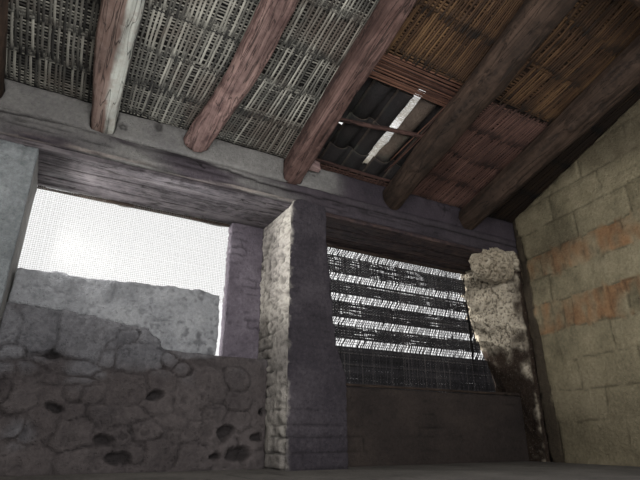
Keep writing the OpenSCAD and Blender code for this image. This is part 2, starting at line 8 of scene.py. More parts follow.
import bmesh
import bpy
import numpy as np
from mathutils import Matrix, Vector


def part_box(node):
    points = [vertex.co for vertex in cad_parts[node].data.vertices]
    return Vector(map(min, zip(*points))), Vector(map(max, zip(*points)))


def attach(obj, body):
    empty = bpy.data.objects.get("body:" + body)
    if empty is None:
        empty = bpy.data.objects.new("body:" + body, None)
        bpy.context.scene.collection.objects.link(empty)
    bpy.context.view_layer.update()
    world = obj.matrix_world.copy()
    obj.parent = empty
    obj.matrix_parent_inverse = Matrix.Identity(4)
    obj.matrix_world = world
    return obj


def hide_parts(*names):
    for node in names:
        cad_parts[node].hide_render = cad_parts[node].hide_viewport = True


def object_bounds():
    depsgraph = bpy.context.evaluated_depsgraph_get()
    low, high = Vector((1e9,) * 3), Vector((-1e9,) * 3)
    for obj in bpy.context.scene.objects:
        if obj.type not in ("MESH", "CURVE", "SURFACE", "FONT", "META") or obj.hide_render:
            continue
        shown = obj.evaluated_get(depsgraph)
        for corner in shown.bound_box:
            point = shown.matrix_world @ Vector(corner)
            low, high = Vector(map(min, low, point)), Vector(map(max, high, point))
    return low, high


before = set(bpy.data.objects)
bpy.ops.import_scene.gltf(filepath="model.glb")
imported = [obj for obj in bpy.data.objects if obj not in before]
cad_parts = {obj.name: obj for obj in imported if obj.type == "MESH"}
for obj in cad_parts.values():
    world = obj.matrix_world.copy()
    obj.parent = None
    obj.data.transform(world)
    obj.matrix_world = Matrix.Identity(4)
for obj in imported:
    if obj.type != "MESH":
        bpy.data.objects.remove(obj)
cad_low, cad_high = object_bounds()

# Stations read from the frame, in metres
PIER_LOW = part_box("centre_pier")[0]
LEFT_LOW, LEFT_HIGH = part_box("left_pier")
Y_IN = LEFT_LOW.y
Y_OUT = LEFT_HIGH.y
X_BAY = LEFT_HIGH.x
X_PIER = PIER_LOW.x
X_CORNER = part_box("right_jamb")[1].x - 0.084
Z_SOFFIT = LEFT_HIGH.z
Z_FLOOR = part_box("floor_screed")[1].z

# The roof slope: u runs up it from the room's face of the window wall, n stands square on it
PITCH = math.radians(16)
Z_CANE = Z_FLOOR + 2.412
UP_SLOPE = Vector((0, -math.cos(PITCH), math.sin(PITCH)))
OFF_SLOPE = Vector((0, math.sin(PITCH), math.cos(PITCH)))


def slope_of(at):
    """u and n of points given in the frame."""
    rest = at - np.array((0, Y_IN, Z_CANE))
    return rest @ np.array(UP_SLOPE), rest @ np.array(OFF_SLOPE)


def on_slope(x, u, n):
    """Points in the frame from x, u and n."""
    x, u, n = np.broadcast_arrays(x, u, n)
    foot = np.array((0, Y_IN, Z_CANE))
    return foot + np.outer(x, (1, 0, 0)) + np.outer(u, UP_SLOPE) + np.outer(n, OFF_SLOPE)


# Noise and patterns

def hashed(*whole, seed=0):
    """A number from 0 to 1 for each set of whole numbers."""
    mix = np.full(whole[0].shape, seed * 974711 + 1013, np.int64)
    for k, part in enumerate(whole):
        mix = (mix ^ (part.astype(np.int64) * (73856093, 19349663, 83492791)[k])) * 2654435761 % (1 << 32)
        mix ^= mix >> 15
    return (mix % 65521) / 65520.0


def lump_noise(at, size, octaves=3, seed=0, rough=0.5):
    """Smooth noise from -1 to 1 with lumps of that size; size may be one number or one for each axis."""
    total = np.zeros(len(at))
    loud = 1.0
    full = 0.0
    for octave in range(octaves):
        cell = at / (np.asarray(size) / 2 ** octave) + 17.3 * octave
        low = np.floor(cell).astype(np.int64)
        part = cell - low
        part = part * part * (3 - 2 * part)
        value = np.zeros(len(at))
        for corner in range(8):
            step = np.array((corner & 1, corner >> 1 & 1, corner >> 2 & 1))
            weight = np.prod(np.where(step == 1, part, 1 - part), axis=1)
            value += weight * hashed(*(low + step).T, seed=seed + octave)
        total += loud * (value * 2 - 1)
        full += loud
        loud *= rough
    return total / full


def ease(value, low, high):
    """0 below low, 1 above high, and smooth between them."""
    t = np.clip((value - low) / (high - low), 0, 1)
    return t * t * (3 - 2 * t)


def veins(at, size, octaves, seed, width, rough=0.5):
    """Thin lines where the noise passes zero: 1 in their middle, and 0 where it is beyond the width."""
    return 1 - ease(np.abs(lump_noise(at, size, octaves, seed, rough)), 0.0, width)


def patches(at, size, octaves, seed, low, high, rough=0.5):
    """Blotches: 0 where the noise is below low, and 1 where it is above high."""
    return ease(lump_noise(at, size, octaves, seed, rough), low, high)


def course_pattern(along, up, beds, lengths, seed):
    """Distance to the nearest joint, and a number for each block, in a wall of coursed blocks."""
    beds = np.asarray(beds, float)
    row = np.clip(np.searchsorted(beds, up) - 1, 0, len(beds) - 2)
    length = np.asarray(lengths, float)[row]
    start = hashed(row, seed=seed)
    place = along / length + start
    block = np.floor(place).astype(np.int64)
    edge = [block + shift + 0.3 * (hashed(block + shift, row, seed=seed + 1) - 0.5) for shift in (0, 1)]
    before = place < edge[0]
    after = place > edge[1]
    block = block - before + after
    edge = [block + shift + 0.3 * (hashed(block + shift, row, seed=seed + 1) - 0.5) for shift in (0, 1)]
    side = np.minimum(place - edge[0], edge[1] - place) * length
    bed = np.minimum(up - beds[row], beds[row + 1] - up)
    return np.minimum(side, bed), hashed(block, row, seed=seed + 2), row


# Meshes

def new_piece(name, mesh):
    piece = bpy.data.objects.new(name, mesh)
    bpy.context.scene.collection.objects.link(piece)
    return piece


def points_of(mesh):
    flat = np.zeros(len(mesh.vertices) * 3)
    mesh.vertices.foreach_get("co", flat)
    return flat.reshape(-1, 3)


def normals_of(mesh):
    flat = np.zeros(len(mesh.vertices) * 3, np.float32)
    mesh.vertex_normals.foreach_get("vector", flat)
    return flat.reshape(-1, 3).astype(float)


def set_points(mesh, at):
    mesh.vertices.foreach_set("co", np.asarray(at, np.float32).ravel())
    mesh.update()


def set_marks(mesh, **marks):
    """Stores one number for each point, for the materials to read."""
    for name, values in marks.items():
        layer = mesh.attributes.get(name) or mesh.attributes.new(name, "FLOAT", "POINT")
        layer.data.foreach_set("value", np.asarray(values, np.float32))


def smooth(mesh):
    mesh.polygons.foreach_set("use_smooth", np.ones(len(mesh.polygons), bool))
    mesh.update()


def worked(mesh, *jobs):
    """Changes a mesh through bmesh: each job is given the working copy."""
    work = bmesh.new()
    work.from_mesh(mesh)
    for job in jobs:
        job(work)
    work.to_mesh(mesh)
    work.free()
    return mesh


def plain_mesh(holder):
    """The mesh of an object with its modifiers applied; the object goes."""
    graph = bpy.context.evaluated_depsgraph_get()
    mesh = bpy.data.meshes.new_from_object(holder.evaluated_get(graph), depsgraph=graph)
    mesh.name = holder.name
    bpy.data.objects.remove(holder)
    return mesh


def merged_copy(node):
    """A copy of a CAD node's mesh with its loose triangles joined."""
    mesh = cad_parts[node].data.copy()
    mesh.materials.clear()
    return worked(mesh, lambda work: bmesh.ops.remove_doubles(work, verts=work.verts, dist=1e-5))


def loose_parts(mesh):
    """The separate solids of a mesh, each as a mesh of its own."""
    work = bmesh.new()
    work.from_mesh(mesh)
    rest = set(work.verts)
    parts = []
    while rest:
        found = set()
        edge = [rest.pop()]
        while edge:
            vert = edge.pop()
            found.add(vert)
            near = [e.other_vert(vert) for e in vert.link_edges]
            edge += [v for v in near if v in rest]
            rest.difference_update(near)
        faces = [f for f in work.faces if f.verts[0] in found]
        number = {v: k for k, v in enumerate(found)}
        part = bpy.data.meshes.new(mesh.name)
        part.from_pydata([v.co[:] for v in number], [], [[number[v] for v in f.verts] for f in faces])
        parts.append(part)
    work.free()
    return parts


def even_copy(node, grain):
    """A closed copy of a CAD node made of small even faces, solid by solid."""
    copies = []
    for part in loose_parts(merged_copy(node)):
        holder = new_piece(node, part)
        remesh = holder.modifiers.new("even faces", "REMESH")
        remesh.mode = "VOXEL"
        remesh.voxel_size = grain
        copies.append(plain_mesh(holder))
    return joined(node, copies)


def joined(name, meshes):
    """One mesh from several, with their marks."""
    holders = [new_piece(name, mesh) for mesh in meshes]
    if len(holders) > 1:
        with bpy.context.temp_override(active_object=holders[0], selected_editable_objects=holders):
            bpy.ops.object.join()
    mesh = holders[0].data
    mesh.name = name
    bpy.data.objects.remove(holders[0])
    return mesh


def lighter(mesh, share):
    """The same surface with fewer faces, most of them where it bends."""
    holder = new_piece(mesh.name, mesh)
    fewer = holder.modifiers.new("fewer faces", "DECIMATE")
    fewer.ratio = share
    return plain_mesh(holder)


def outward(mesh):
    """Turns every face to point out of its solid."""
    return worked(mesh, lambda work: bmesh.ops.recalc_face_normals(work, faces=work.faces))


def within_box(at):
    """Points held inside the CAD model's box."""
    return np.clip(at, np.array(cad_low), np.array(cad_high))


def dress(name, mesh, finish, slot, *nodes):
    """Makes the piece that stands for the nodes, with its finish; its slot is not used."""
    mesh.materials.clear()
    mesh.materials.append(finish)
    piece = new_piece(name, mesh)
    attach(piece, "root")
    if nodes:
        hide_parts(*nodes)
    return piece


def hollow_of(mesh, rounds=4):
    """How far each point lies below the surface round it, in metres."""
    at = points_of(mesh)
    ends = np.zeros(len(mesh.edges) * 2, np.int32)
    mesh.edges.foreach_get("vertices", ends)
    first, last = ends.reshape(-1, 2).T
    number = len(at)
    near = np.bincount(first, minlength=number) + np.bincount(last, minlength=number)
    level = at.copy()
    for _ in range(rounds):
        beside = [np.bincount(first, level[last, k], number) + np.bincount(last, level[first, k], number)
                  for k in range(3)]
        level = np.stack(beside, 1) / near[:, None]
    return ((level - at) * normals_of(mesh)).sum(1)


# Depths of a hollow, in metres, at which painted shade starts to show and at which it is full
HOLLOW_SHADE_DEPTHS = (0.0006, 0.0045)
# Part of each share that is kept, so that all pieces together stay under a million triangles
FEWER = 0.48


def weathered(node, grain, relief, finish, slot, share=0.5, hollow_shade=0.5):
    """A node with its real surface: relief gives its push and marks, and painted shade darkens its hollows.
    """
    mesh = even_copy(node, grain)
    at = points_of(mesh)
    out = normals_of(mesh)
    push, marks = relief(at, out)
    set_points(mesh, within_box(at + out * push[:, None]))
    # Painted shade: the hollows are darkened through the joint mark.
    if hollow_shade:
        marks["joint"] = np.maximum(marks["joint"], hollow_shade * ease(hollow_of(mesh), *HOLLOW_SHADE_DEPTHS))
    set_marks(mesh, **marks)
    mesh = lighter(mesh, share * FEWER)
    smooth(mesh)
    return dress(node + "_surface", mesh, finish, slot, node)


# Materials

class Wiring:
    """A node tree, built with short calls."""

    def __init__(self, tree):
        self.nodes = tree.nodes
        self.links = tree.links

    def node(self, kind, wires=None, **settings):
        made = self.nodes.new(kind)
        for key, value in settings.items():
            setattr(made, key, value)
        for key, value in (wires or {}).items():
            if isinstance(value, bpy.types.NodeSocket):
                self.links.new(value, made.inputs[key])
            else:
                made.inputs[key].default_value = value
        return made

    def step(self, kind, wires=None, **settings):
        """The first output of a new node."""
        return self.node(kind, wires, **settings).outputs[0]

    def math(self, operation, first, second=0.0):
        return self.step("ShaderNodeMath", {0: first, 1: second}, operation=operation)


class Finish(Wiring):
    """A material whose nodes give colour and relief."""

    def __init__(self, name, roughness=0.92, gloss=0.2):
        self.material = bpy.data.materials.new(name)
        self.material.use_nodes = True
        super().__init__(self.material.node_tree)
        self.shader = self.nodes["Principled BSDF"]
        self.shader.inputs["Roughness"].default_value = roughness
        self.shader.inputs["Specular IOR Level"].default_value = gloss
        self.place = self.nodes.new("ShaderNodeTexCoord").outputs["Object"]

    def stretched(self, scale, turn=(0, 0, 0)):
        """Object coordinates, turned and then scaled along each axis."""
        turned = self.step("ShaderNodeMapping", {"Vector": self.place, "Rotation": turn}, vector_type="POINT")
        return self.step("ShaderNodeMapping", {"Vector": turned, "Scale": scale})

    def noise(self, scale, detail=4.0, rough=0.55, place=None, twist=0.0):
        wires = {"Vector": place or self.place, "Scale": scale, "Detail": detail,
                 "Roughness": rough, "Distortion": twist}
        return self.node("ShaderNodeTexNoise", wires).outputs["Fac"]

    def cells(self, scale):
        return self.node("ShaderNodeTexVoronoi", {"Vector": self.place, "Scale": scale}).outputs["Distance"]

    def mark(self, name):
        return self.node("ShaderNodeAttribute", attribute_name=name).outputs["Fac"]

    def ramp(self, factor, stops):
        """A colour as written or a number for each stop: (place, value)."""
        made = self.node("ShaderNodeValToRGB", {"Fac": factor})
        points = made.color_ramp.elements
        while len(points) < len(stops):
            points.new(1.0)
        for point, (place, value) in zip(points, stops):
            point.position = place
            point.color = (*linear(value), 1) if isinstance(value, str) else (value, value, value, 1)
        return made.outputs["Color"]

    def blend(self, factor, first, second):
        made = self.node("ShaderNodeMix", data_type="RGBA")
        for key, value in ((0, factor), (6, first), (7, second)):
            if isinstance(value, bpy.types.NodeSocket):
                self.links.new(value, made.inputs[key])
            elif key == 0:
                made.inputs[0].default_value = value
            else:
                made.inputs[key].default_value = (*linear(value), 1)
        return made.outputs[2]

    def sum(self, *parts):
        """A weighted sum: (socket, weight) pairs."""
        total = None
        for socket, weight in parts:
            scaled = self.math("MULTIPLY", socket, weight)
            total = scaled if total is None else self.math("ADD", total, scaled)
        return total

    def colour(self, socket):
        self.links.new(socket, self.shader.inputs["Base Color"])

    def bump(self, height, depth):
        """Depth is the height in metres that a value of 1 stands for."""
        made = self.step("ShaderNodeBump", {"Height": height, "Distance": depth, "Strength": 1.0})
        self.links.new(made, self.shader.inputs["Normal"])


def linear(hex_code):
    """A colour as written, turned into the renderer's own scale."""
    parts = [int(hex_code[k:k + 2], 16) / 255 for k in (0, 2, 4)]
    return tuple(p / 12.92 if p <= 0.04045 else ((p + 0.055) / 1.055) ** 2.4 for p in parts)


def earth_finish(name, dark, middle, light, joint, warm=None, other=None, stain=None, straw=0.3, pits=0.5):
    """Mud, plaster or stone: blotches, grit, straw flecks, a second and third ground, and dark joints."""
    made = Finish(name)
    blotch = made.noise(2.2, 6.0, 0.62)
    grit = made.noise(38.0, 5.0, 0.7)
    wide = made.sum((blotch, 0.7), (grit, 0.3))
    base = made.ramp(wide, [(0.34, dark), (0.5, middle), (0.68, light)])
    tone = made.mark("tone")
    gritty = made.ramp(grit, [(0.3, middle), (0.7, light)])
    base = made.blend(made.sum((tone, 0.55)), base, gritty)
    for mark, pair in (("warm", warm), ("other", other)):
        if pair:
            ground = made.ramp(wide, [(0.35, pair[0]), (0.62, pair[1])])
            base = made.blend(made.mark(mark), base, ground)
    if stain:
        patch = made.ramp(made.noise(3.4, 5.0, 0.6, twist=0.6), [(0.5, 0.0), (0.62, 0.85)])
        base = made.blend(patch, base, stain)
    fleck_place = made.stretched((70, 70, 260), (0.5, 0.4, 0.8))
    fleck = made.ramp(made.noise(1.0, 2.0, 0.6, fleck_place), [(0.64, 0.0), (0.72, straw)])
    base = made.blend(fleck, base, light)
    # The joint mark holds dark joints and cracks, and also painted shade in hollows and under the tiles.
    base = made.blend(made.mark("joint"), base, joint)
    made.colour(base)
    pit = made.ramp(made.cells(46.0), [(0.0, 0.0), (0.32, 1.0)])
    height = made.sum((grit, 1.0), (blotch, 0.8), (pit, pits), (made.noise(150.0, 2.0), 0.35))
    made.bump(height, 0.011)
    return made.material


def wood_finish(name, dark, middle, light, check="14100d", turn=(0, 0, 0), along=1, bleached=0.35, painted_light_and_wear=None):
    """A weathered log: streaks along its length, dark checks, and bleached patches."""
    made = Finish(name, 0.85, 0.25)
    wide = [9.0, 9.0, 9.0]
    wide[along] = 0.7
    fine = [52.0, 52.0, 52.0]
    fine[along] = 1.6
    streak = made.noise(1.0, 4.0, 0.6, made.stretched(tuple(wide), turn), 0.4)
    fibre = made.noise(1.0, 5.0, 0.65, made.stretched(tuple(fine), turn), 0.3)
    blotch = made.noise(5.0, 5.0, 0.6)
    value = made.sum((streak, 0.45), (fibre, 0.35), (blotch, 0.2))
    base = made.ramp(value, [(0.36, dark), (0.5, middle), (0.64, light)])
    patch_place = made.stretched((2, 2, 2), turn)
    patch = made.ramp(made.noise(3.0, 4.0, 0.6, patch_place), [(0.5, 0.0), (0.66, bleached)])
    base = made.blend(patch, base, light)
    # Painted light: the pale colours of a log's lit side.
    if painted_light_and_wear:
        painted_light_base = made.ramp(value, [(0.36, painted_light_and_wear[0]), (0.6, painted_light_and_wear[1])])
        base = made.blend(made.mark("painted_light_and_wear"), base, painted_light_base)
    dusty = made.ramp(made.noise(14.0, 5.0, 0.7), [(0.46, 0.0), (0.7, 0.55)])
    base = made.blend(dusty, base, light)
    base = made.blend(made.sum((made.mark("bare"), 0.3)), base, dark)
    crack_place = made.stretched(tuple(w * 1.9 for w in wide), turn)
    crack = made.ramp(made.noise(1.0, 2.0, 0.5, crack_place, 0.8), [(0.485, 0.0), (0.5, 0.8), (0.515, 0.0)])
    base = made.blend(crack, base, check)
    # The joint mark holds splits and knots, and also painted shade in hollows.
    base = made.blend(made.mark("joint"), base, check)
    made.colour(base)
    made.bump(made.sum((fibre, 1.0), (streak, 0.6), (crack, -0.9)), 0.005)
    return made.material


def cane_finish(name, dark, middle, light, turn=(0, 0, 0), along=1, blush=None, own=0.35):
    """Split cane: each strand has its own tone, with fibres and wide patches; the joint mark lays painted
    shade on it.
    """
    made = Finish(name, 0.7, 0.3)
    fine = [240.0, 240.0, 240.0]
    fine[along] = 9.0
    fibre = made.noise(1.0, 3.0, 0.6, made.stretched(tuple(fine), turn))
    grime = made.noise(3.4, 5.0, 0.65)
    patch = made.noise(1.3, 2.0, 0.5)
    value = made.sum((made.mark("tone"), own), (fibre, 0.55 - own), (grime, 0.35), (patch, 0.3))
    base = made.ramp(value, [(0.42, dark), (0.6, middle), (0.78, light)])
    if blush:
        blotched = made.ramp(made.noise(2.1, 4.0, 0.6, twist=0.5), [(0.48, 0.0), (0.62, 0.6)])
        base = made.blend(blotched, base, blush)
    # The joint mark is painted shade here: panel feet and heads, shaded bays and wefts.
    base = made.blend(made.mark("joint"), base, "0b0a0a")
    made.colour(base)
    made.bump(made.sum((fibre, 1.0)), 0.0012)
    return made.material


SLOPE_TURN = (PITCH, 0, 0)


# The camera stands low in the room and looks up to the right

LENS = 493.0
CAMERA_AT = Vector((X_PIER - 1.556, Y_IN - 3.3, Z_FLOOR + 0.198))
CAMERA_PITCH = math.radians(21.9)
CAMERA_HEADING = math.radians(29.3)
PHOTO_W = 640
PHOTO_H = 480
SENSOR = 36.0


def add_camera():
    lens = bpy.data.cameras.new("camera")
    lens.sensor_width = SENSOR
    lens.lens = SENSOR * LENS / PHOTO_W
    camera = bpy.data.objects.new("camera", lens)
    camera.location = CAMERA_AT
    camera.rotation_euler = (math.pi / 2 + CAMERA_PITCH, 0, -CAMERA_HEADING)
    bpy.context.scene.collection.objects.link(camera)
    bpy.context.scene.camera = camera


def seen_at(px, py, y):
    """The x and z where the line of sight through a pixel of the photograph meets a plane across the room."""
    side = (px - PHOTO_W / 2) / LENS
    rise = (PHOTO_H / 2 - py) / LENS
    ahead = math.cos(CAMERA_PITCH) - rise * math.sin(CAMERA_PITCH)
    up = math.sin(CAMERA_PITCH) + rise * math.cos(CAMERA_PITCH)
    dx = ahead * math.sin(CAMERA_HEADING) + side * math.cos(CAMERA_HEADING)
    dy = ahead * math.cos(CAMERA_HEADING) - side * math.sin(CAMERA_HEADING)
    reach = (y - CAMERA_AT.y) / dy
    return CAMERA_AT.x + dx * reach, CAMERA_AT.z + up * reach


# Reliefs: each gives the push along the normal, in metres, and the marks for the finish

def face_axes(at, out):
    """Along and up on the upright face that a point is on."""
    on_side = np.abs(out[:, 0]) > np.abs(out[:, 1])
    return np.where(on_side, at[:, 1], at[:, 0]), at[:, 2]


def worn_arris(at, x, y, reach, depth, seed):
    """How far the upright arris at x, y is worn back."""
    away = np.hypot(at[:, 0] - x, at[:, 1] - y)
    chipped = lump_noise(at, 0.09, 3, seed) * 0.6 + 0.55
    return depth * (1 - ease(away, 0, reach)) * np.clip(chipped, 0, 1)


# Beds of the end walls' courses above the floor, and which of them are orange blocks on end
BEDS = (-0.06, 0.33, 0.60, 0.876, 1.135, 1.42, 1.69, 1.933, 2.20, 2.47, 2.74, 3.01, 3.3)
ORANGE_ROWS = (4, 6)
LONG_BLOCK = 0.62
END_BLOCK = 0.13
# Dark plaster beside the window wall: heights above the floor, and how far it reaches along the end wall
STRIP_HEIGHTS = (0.3, 0.75, 1.45, 1.887, 2.15, 2.283, 2.6)
STRIP_REACH = (0.17, 0.13, 0.115, 0.11, 0.08, 0.05, 0.03)


def end_wall_relief(at, out):
    along, up = face_axes(at, out)
    lengths = [END_BLOCK if row in ORANGE_ROWS else LONG_BLOCK for row in range(len(BEDS) - 1)]
    waver = lump_noise(at, 0.3, 2, 5) * 0.03 + lump_noise(at, 0.07, 3, 6) * 0.012
    edge, tone, row = course_pattern(along + waver, up + waver, Z_FLOOR + np.array(BEDS), lengths, 11)
    orange = np.isin(row, ORANGE_ROWS)
    filled = patches(at, 0.35, 3, 8, -0.25, 0.35)
    upright = ease(1 - np.abs(out[:, 2]), 0.4, 0.7)
    joint = (1 - ease(edge, 0.002, 0.013)) * np.where(orange, 0.5, 1.0) * (0.12 + 0.88 * filled) * upright
    ribs = lump_noise(np.stack((along, along * 0, up * 0.35), 1), 0.05, 2, 4)
    rough = lump_noise(at, 0.09, 4, 3, 0.6) * 0.009 + orange * ribs * 0.008
    flaked = patches(at, (0.3, 0.3, 0.16), 3, 7, 0.15, 0.3) * 0.004
    push = -0.012 * joint - 0.010 * (1 - tone) * upright + rough - flaked - 0.007
    warm = orange * ease(lump_noise(at, 0.25, 3, 21) + 0.5 * ribs, -0.45, 0.35)
    reach = np.interp(up - Z_FLOOR, STRIP_HEIGHTS, STRIP_REACH) + lump_noise(at, 0.12, 3, 22) * 0.014
    inside = at[:, 0] * out[:, 0] < -0.3
    beside = np.where(inside & (at[:, 0] > 0) & (at[:, 1] < Y_IN), Y_IN - at[:, 1], 9.0)
    strip = 1 - ease(beside, reach - 0.006, reach + 0.006)
    split = 1 - ease(np.abs(beside - reach), 0.002, 0.008)
    # Darker towards the top and towards the floor on the room's face, through the other ground.
    darker_up = 0.55 * inside * ease(lump_noise(at, 0.6, 3, 23) + (up - Z_FLOOR - 2.1) * 0.8, 0.1, 0.8)
    push -= 0.012 * split + 0.004 * strip
    darker_low = 0.35 * inside * (1 - ease(up, Z_FLOOR + 0.3, Z_FLOOR + 1.0))
    patchy = 0.5 * lump_noise(at, (0.5, 0.5, 0.35), 4, 24)
    return push, {"joint": np.maximum(joint * 0.5, split * 0.95),
                  "tone": (1.2 * tone + patchy) * (1 - 0.5 * strip),
                  "warm": warm * (1 - strip),
                  "other": np.maximum(strip * 0.9, np.maximum(darker_up, darker_low))}


# Stones of the rubble wall as the photograph shows them: x, y, half width and half height, in pixels
STONES = (
    (10, 328, 9, 20), (38, 328, 19, 22), (89, 334, 28, 25), (107, 355, 8, 12), (127, 335, 13, 9),
    (151, 335, 13, 12), (141, 359, 23, 16), (198, 353, 26, 6), (8, 369, 9, 7), (29, 369, 13, 8),
    (70, 365, 29, 7), (100, 373, 7, 6), (50, 380, 12, 7), (80, 380, 19, 5), (126, 386, 18, 17),
    (164, 382, 14, 11), (183, 371, 8, 9), (200, 391, 25, 25), (25, 395, 15, 15), (53, 395, 12, 13),
    (75, 391, 9, 9), (96, 391, 11, 11), (5, 390, 6, 10), (73, 410, 11, 8), (100, 416, 12, 11),
    (130, 413, 14, 10), (157, 405, 14, 10), (16, 425, 11, 11), (39, 429, 13, 18), (70, 433, 18, 17),
    (123, 434, 8, 9), (145, 431, 12, 10), (168, 422, 15, 7), (203, 431, 18, 13), (197, 456, 18, 12),
    (163, 453, 17, 12), (135, 456, 8, 7), (30, 460, 22, 14), (75, 462, 20, 12), (237, 379, 11, 11),
    (238, 401, 12, 11), (240, 423, 11, 10), (228, 452, 12, 12), (12, 350, 9, 8), (170, 360, 9, 10),
    (215, 412, 12, 9), (178, 342, 10, 8), (110, 344, 8, 8), (252, 440, 10, 12), (254, 462, 10, 10),
)
# Hollows where stones have dropped out: x, y and radius, in pixels
HOLLOWS = ((104, 440, 9), (117, 459, 8), (226, 432, 8), (240, 452, 11), (258, 437, 7), (155, 395, 5),
           (57, 408, 4), (52, 355, 4), (120, 321, 4), (214, 455, 5), (263, 412, 5))
# The plane of the stones' faces, and how far from the camera they are seen, in metres
STONE_Y = Y_IN + 0.29
STONE_AWAY = 3.9
STONE_AT = np.array([seen_at(x, y, STONE_Y) for x, y, _, _ in STONES])
STONE_HALF = np.array([(w, h) for _, _, w, h in STONES]) * STONE_AWAY / LENS * np.array((1.22, 0.98))


def rubble_relief(at, out):
    """Flat-faced field stones under thin mud: tilted faces, thin broken joints, and a few open holes."""
    front = np.abs(out[:, 1]) > 0.6
    wander = np.stack((lump_noise(at, 0.16, 3, 31), lump_noise(at, 0.16, 3, 32)), 1) * 0.034
    fret = np.stack((lump_noise(at, 0.03, 2, 37), lump_noise(at, 0.03, 2, 38)), 1) * 0.008
    spot = at[:, (0, 2)] + wander + fret
    apart = (spot[:, None, :] - STONE_AT[None]) / STONE_HALF[None]
    far = (np.abs(apart) ** 2.8).sum(2) ** (1 / 2.8)
    near = np.argsort(far, axis=1)[:, :2]
    first = np.take_along_axis(far, near[:, :1], 1)[:, 0]
    second = np.take_along_axis(far, near[:, 1:], 1)[:, 0]
    size = STONE_HALF[near[:, 0]].min(axis=1)
    edge = (second - first) * size
    tone = hashed(near[:, 0], seed=40)
    lean = np.stack((hashed(near[:, 0], seed=41), hashed(near[:, 0], seed=42)), 1) - 0.5
    tilt = ((spot - STONE_AT[near[:, 0]]) * lean).sum(1) * 0.34
    ragged = lump_noise(at, 0.07, 3, 47) * 0.12
    stone = 1 - ease(first + ragged, 0.78, 1.02)
    stone *= ease(edge, 0.002, 0.022)
    open_joint = patches(at, 0.14, 3, 36, -0.1, 0.3)
    joint = (1 - ease(edge + ragged * 0.03, 0.001, 0.009)) * (first < 1.05) * open_joint
    rim = (1 - ease(np.abs(first + ragged - 0.97) * size, 0.0, 0.010)) * open_joint * 0.8
    level = lump_noise(at, (0.34, 0.3, 0.06), 3, 39)
    ledge = 1 - ease(np.abs(level), 0.0, 0.035)
    ledge *= patches(at, 0.3, 2, 30, 0.0, 0.4) * (1 - stone)
    chipped = np.abs(lump_noise(at, 0.1, 3, 48)) * 0.04
    push = stone * (0.026 + 0.026 * (tone - 0.5) + np.clip(tilt, -0.024, 0.024) - chipped) - 0.012
    push -= 0.020 * joint + 0.008 * rim + 0.012 * ledge
    push += lump_noise(at, 0.09, 4, 33, 0.7) * (0.015 + 0.010 * (1 - stone))
    broken = veins(at, 0.2, 4, 49, 0.035, rough=0.65)
    broken *= patches(at, 0.25, 2, 50, 0.0, 0.35)
    push -= 0.014 * broken
    dark = np.maximum(np.maximum(joint * 0.75, rim * 0.25), np.maximum(ledge * 0.6, broken * 0.7))
    # The dropped-out hollows are also painted fully dark, as the shade inside them.
    for x, y, reach in HOLLOWS:
        hx, hz = seen_at(x, y, STONE_Y)
        away = np.hypot((spot[:, 0] - hx) / 1.7, (spot[:, 1] - hz) * 1.1) / (reach * 3.0 / LENS)
        frayed = away + lump_noise(at, 0.05, 3, 43) * 0.4 + lump_noise(at, 0.14, 2, 46) * 0.45
        sunk = 1 - ease(frayed, 0.6, 0.95)
        push -= 0.06 * sunk
        dark = np.maximum(dark, sunk)
    push = np.where(front, push, lump_noise(at, 0.07, 3, 34) * 0.008)
    low = 1 - ease(at[:, 2], Z_FLOOR + 0.35, Z_FLOOR + 0.9)
    earthy = ease(lump_noise(at, 0.3, 3, 44) + low * 1.1 + (1 - stone) * 0.3, 0.2, 0.9)
    return push, {"joint": np.where(front, dark, 0) * 0.75, "tone": 1.3 * tone, "warm": earthy * 0.85}


def render_relief(at, out):
    """Rough render thrown on by hand: swells, scratches, a ragged top, and pits towards the slit."""
    swell = lump_noise(at, 0.18, 5, 51, 0.65) * 0.026
    crumbs = lump_noise(at, 0.028, 3, 52)
    top = ease(at[:, 2], Z_FLOOR + 1.12, Z_FLOOR + 1.22)
    near_slit = ease(at[:, 0], X_PIER - 1.1, X_PIER - 0.5)
    low = 1 - ease(at[:, 2], Z_FLOOR + 0.85, Z_FLOOR + 1.1)
    pits = patches(at, 0.045, 2, 53, 0.2, 0.55) * np.maximum(0.2, np.maximum(near_slit, low * 0.8))
    scratch = veins(at, (0.2, 0.2, 0.05), 3, 56, 0.05)
    scratch *= patches(at, 0.3, 2, 57, -0.1, 0.4)
    push = swell + crumbs * 0.005 - 0.014 * pits - 0.009 * scratch
    push += top * ease(out[:, 2], 0.0, 0.7) * lump_noise(at, 0.16, 4, 54, 0.6) * 0.03
    return push, {"joint": np.maximum(pits * 0.6, scratch * 0.45),
                  "tone": 0.5 + 0.5 * lump_noise(at, 0.3, 3, 55)}


PIER_BEDS = tuple(0.095 * k + 0.008 * (k % 3) for k in range(-1, 24))


